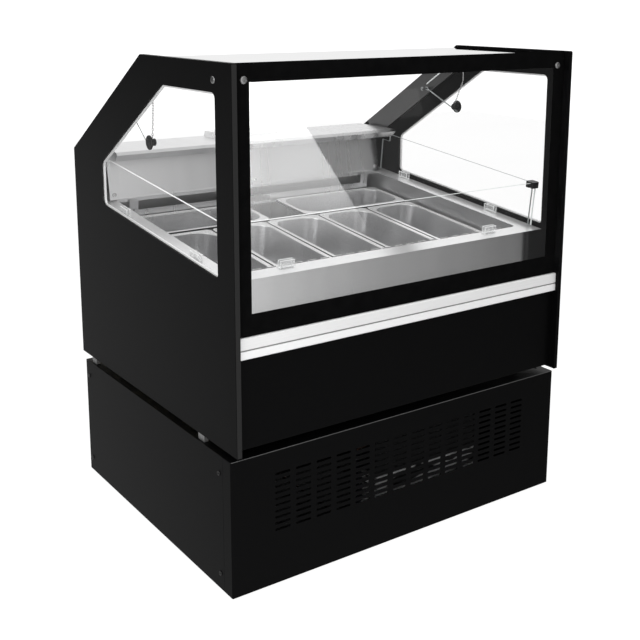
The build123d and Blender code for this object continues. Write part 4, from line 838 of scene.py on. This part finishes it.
# %% Floor
floor_side = 14.0
glow_share = 0.85
glow_strength = 1.12
bpy.ops.object.select_all(action="DESELECT")
bpy.ops.mesh.primitive_plane_add(size=floor_side)
floor = bpy.context.object
floor.name = "studio_floor"
floor.visible_glossy = False
floor_finish = bpy.data.materials.new("pale_floor")
floor_finish.use_nodes = True
tree = floor_finish.node_tree
shader = tree.nodes["Principled BSDF"]
shader.inputs["Base Color"].default_value = (0.9, 0.9, 0.9, 1.0)
shader.inputs["Roughness"].default_value = 0.9
glow = put(tree, "ShaderNodeEmission", {"Strength": glow_strength})
path = put(tree, "ShaderNodeLightPath").outputs
seen = reckon(tree, "MAXIMUM", path["Is Camera Ray"], path["Is Transmission Ray"])
share = reckon(tree, "MULTIPLY", seen, glow_share)
mixed = put(tree, "ShaderNodeMixShader",
            {0: share, 1: shader.outputs["BSDF"], 2: glow.outputs["Emission"]})
tree.links.new(mixed.outputs["Shader"], tree.nodes["Material Output"].inputs["Surface"])
floor.data.materials.append(floor_finish)
print("floor:", floor_side, "m square")

# %% Helper for the room
def grey_ramp(tree, value, start, end, stops):
    """A grey that changes along a range of numbers."""
    ramp = put(tree, "ShaderNodeValToRGB", {"Fac": spread(tree, value, start, end)})
    elements = ramp.color_ramp.elements
    while len(elements) < len(stops):
        elements.new(0.5)
    for element, (place, grey) in zip(elements, stops):
        element.position = (place - start) / (end - start)
        element.color = (grey, grey, grey, 1.0)
    return ramp.outputs["Color"]


# %% Room
white = (1.0, 1.0, 1.0, 1.0)
sky = (1.25, 1.25, 1.25, 1.0)
ambient = (0.75, 0.75, 0.75, 1.0)
overhead = (0.64, 0.64, 0.64, 1.0)
room = bpy.data.worlds.new("studio_room")
scene.world = room
room.use_nodes = True
tree = room.node_tree
background = tree.nodes["Background"]
way = put(tree, "ShaderNodeTexCoord").outputs["Generated"]
axes = put(tree, "ShaderNodeSeparateXYZ", {"Vector": way}).outputs
back_left = grey_ramp(tree, axes["Z"], -1.0, 1.0,
                      ((-1.0, 0.42), (-0.3, 0.42), (-0.16, 0.45), (-0.04, 0.10), (0.12, 0.10), (0.4, 0.9)))
behind = blend_colours(tree, spread(tree, axes["X"], -0.2, 0.2), back_left, white)
sideways = reckon(tree, "MULTIPLY_ADD", axes["Z"], 0.234, axes["X"])
low_front = grey_ramp(tree, sideways, 0.0, 1.0,
                      ((0.0, 0.64), (0.425, 0.58), (0.455, 0.46), (0.49, 0.36), (0.53, 0.29), (0.62, 0.21),
                       (0.68, 0.07)))
high_front = grey_ramp(tree, sideways, 0.0, 1.0,
                       ((0.0, 0.90), (0.41, 0.80), (0.46, 0.52), (0.53, 0.36), (0.60, 0.23), (0.68, 0.13)))
shop_front = blend_colours(tree, spread(tree, axes["Z"], -0.32, -0.22), low_front, high_front)
ahead = blend_colours(tree, spread(tree, axes["Z"], 0.35, 0.65), shop_front, white)
around = blend_colours(tree, spread(tree, axes["Y"], -0.35, 0.35), ahead, behind)
mirrored = blend_colours(tree, spread(tree, axes["Z"], 0.55, 0.80), around, overhead)
path = put(tree, "ShaderNodeLightPath").outputs
lit = blend_colours(tree, path["Is Glossy Ray"], ambient, mirrored)
seen = reckon(tree, "MAXIMUM", path["Is Camera Ray"], path["Is Transmission Ray"])
tree.links.new(blend_colours(tree, seen, lit, sky), background.inputs["Color"])
print("room:", room.name)

# %% Lamps
for name, spot, look, size, power in (
    ("top_softbox", (-0.6, -0.6, 3.4), (0, 0, 0.8), 2.4, 40.0),
    ("left_softbox", (-3.2, -1.0, 2.0), (0, 0, 0.8), 1.6, 14.0),
    ("front_softbox", (-1.7, -1.9, 1.0), (0, -0.4, 0.6), 1.2, 18.0),
):
    lamp_data = bpy.data.lights.new(name, "AREA")
    lamp_data.size = size
    lamp_data.energy = power
    lamp = bpy.data.objects.new(name, lamp_data)
    scene.collection.objects.link(lamp)
    lamp.location = spot
    lamp.rotation_euler = (Vector(look) - Vector(spot)).to_track_quat("-Z", "Y").to_euler()
    lamp.visible_glossy = name == "left_softbox"
    print(name, "power:", power, "W")
scene.view_settings.view_transform = "Standard"
scene.cycles.transparent_max_bounces = 32

# %% [markdown]
# ## The reflection in the front glass
# In the photograph the left part of the front glass mirrors something pale beside the camera, with a
# clear slanting edge, and fades towards the deck. A card stands in for it. Where it stands follows from
# the mirrored camera: a line from there through a point of the glass meets the card where that point's
# reflection lies. Light linking shows the card to the front glass alone, and a Transparent shader under
# its glow lets every other ray pass.

# %% Where the card stands
card_y = -1.9
mirrored_eye = Vector((eye.x, 2 * glass_low.y - eye.y, eye.z))


def seen_in_glass(x, z):
    """The card's point that shows at a place on the front glass."""
    ray = Vector((x, glass_low.y, z)) - mirrored_eye
    return mirrored_eye + ray * ((card_y - mirrored_eye.y) / ray.y)


edge_head = seen_in_glass(-0.2971, 1.0238)
edge_foot = seen_in_glass(-0.1144, 0.7605)
corner_low = seen_in_glass(glass_low.x, 0.7700)
corner_high = seen_in_glass(0.0, glass_high.z)
fade_end = seen_in_glass(0.0, 0.9300)
print("card corners:", [round(v, 3) for v in (*corner_low, *corner_high)])

# %% Reflector card
middle = (corner_low + corner_high) / 2
bpy.ops.object.select_all(action="DESELECT")
bpy.ops.mesh.primitive_plane_add(size=1.0, location=middle, rotation=(math.pi / 2, 0, 0))
card = bpy.context.object
card.name = "reflector_card"
card.scale = (corner_high.x - corner_low.x, corner_high.z - corner_low.z, 1.0)
bpy.ops.object.transform_apply(location=True, rotation=True, scale=True)
slant = edge_foot - edge_head
bpy.ops.object.mode_set(mode="EDIT")
bpy.ops.mesh.select_all(action="SELECT")
bpy.ops.mesh.bisect(plane_co=edge_head, plane_no=(-slant.z, 0, slant.x), clear_outer=True)
bpy.ops.object.mode_set(mode="OBJECT")
print("card outline has", len(card.data.vertices), "corners")

# %% Glow of the card
card_lift = 0.39
card_glow = bpy.data.materials.new("card_glow")
card_glow.use_nodes = True
tree = card_glow.node_tree
tree.nodes.remove(tree.nodes["Principled BSDF"])
brightness = spread(tree, along(tree, "Z"), corner_low.z, fade_end.z, 0.0, card_lift / front_level)
glow = put(tree, "ShaderNodeEmission", {"Strength": brightness})
passing = put(tree, "ShaderNodeBsdfTransparent")
both = put(tree, "ShaderNodeAddShader", {0: glow.outputs["Emission"], 1: passing.outputs["BSDF"]})
tree.links.new(both.outputs["Shader"], tree.nodes["Material Output"].inputs["Surface"])
card.data.materials.append(card_glow)
card.visible_camera = False
card.visible_diffuse = False
card.visible_transmission = False
card.visible_shadow = False
glass_only = bpy.data.collections.new("mirrors_the_card")
glass_only.objects.link(nodes["front_glass"])
card.light_linking.receiver_collection = glass_only
print("card brightness:", round(card_lift / front_level, 2))
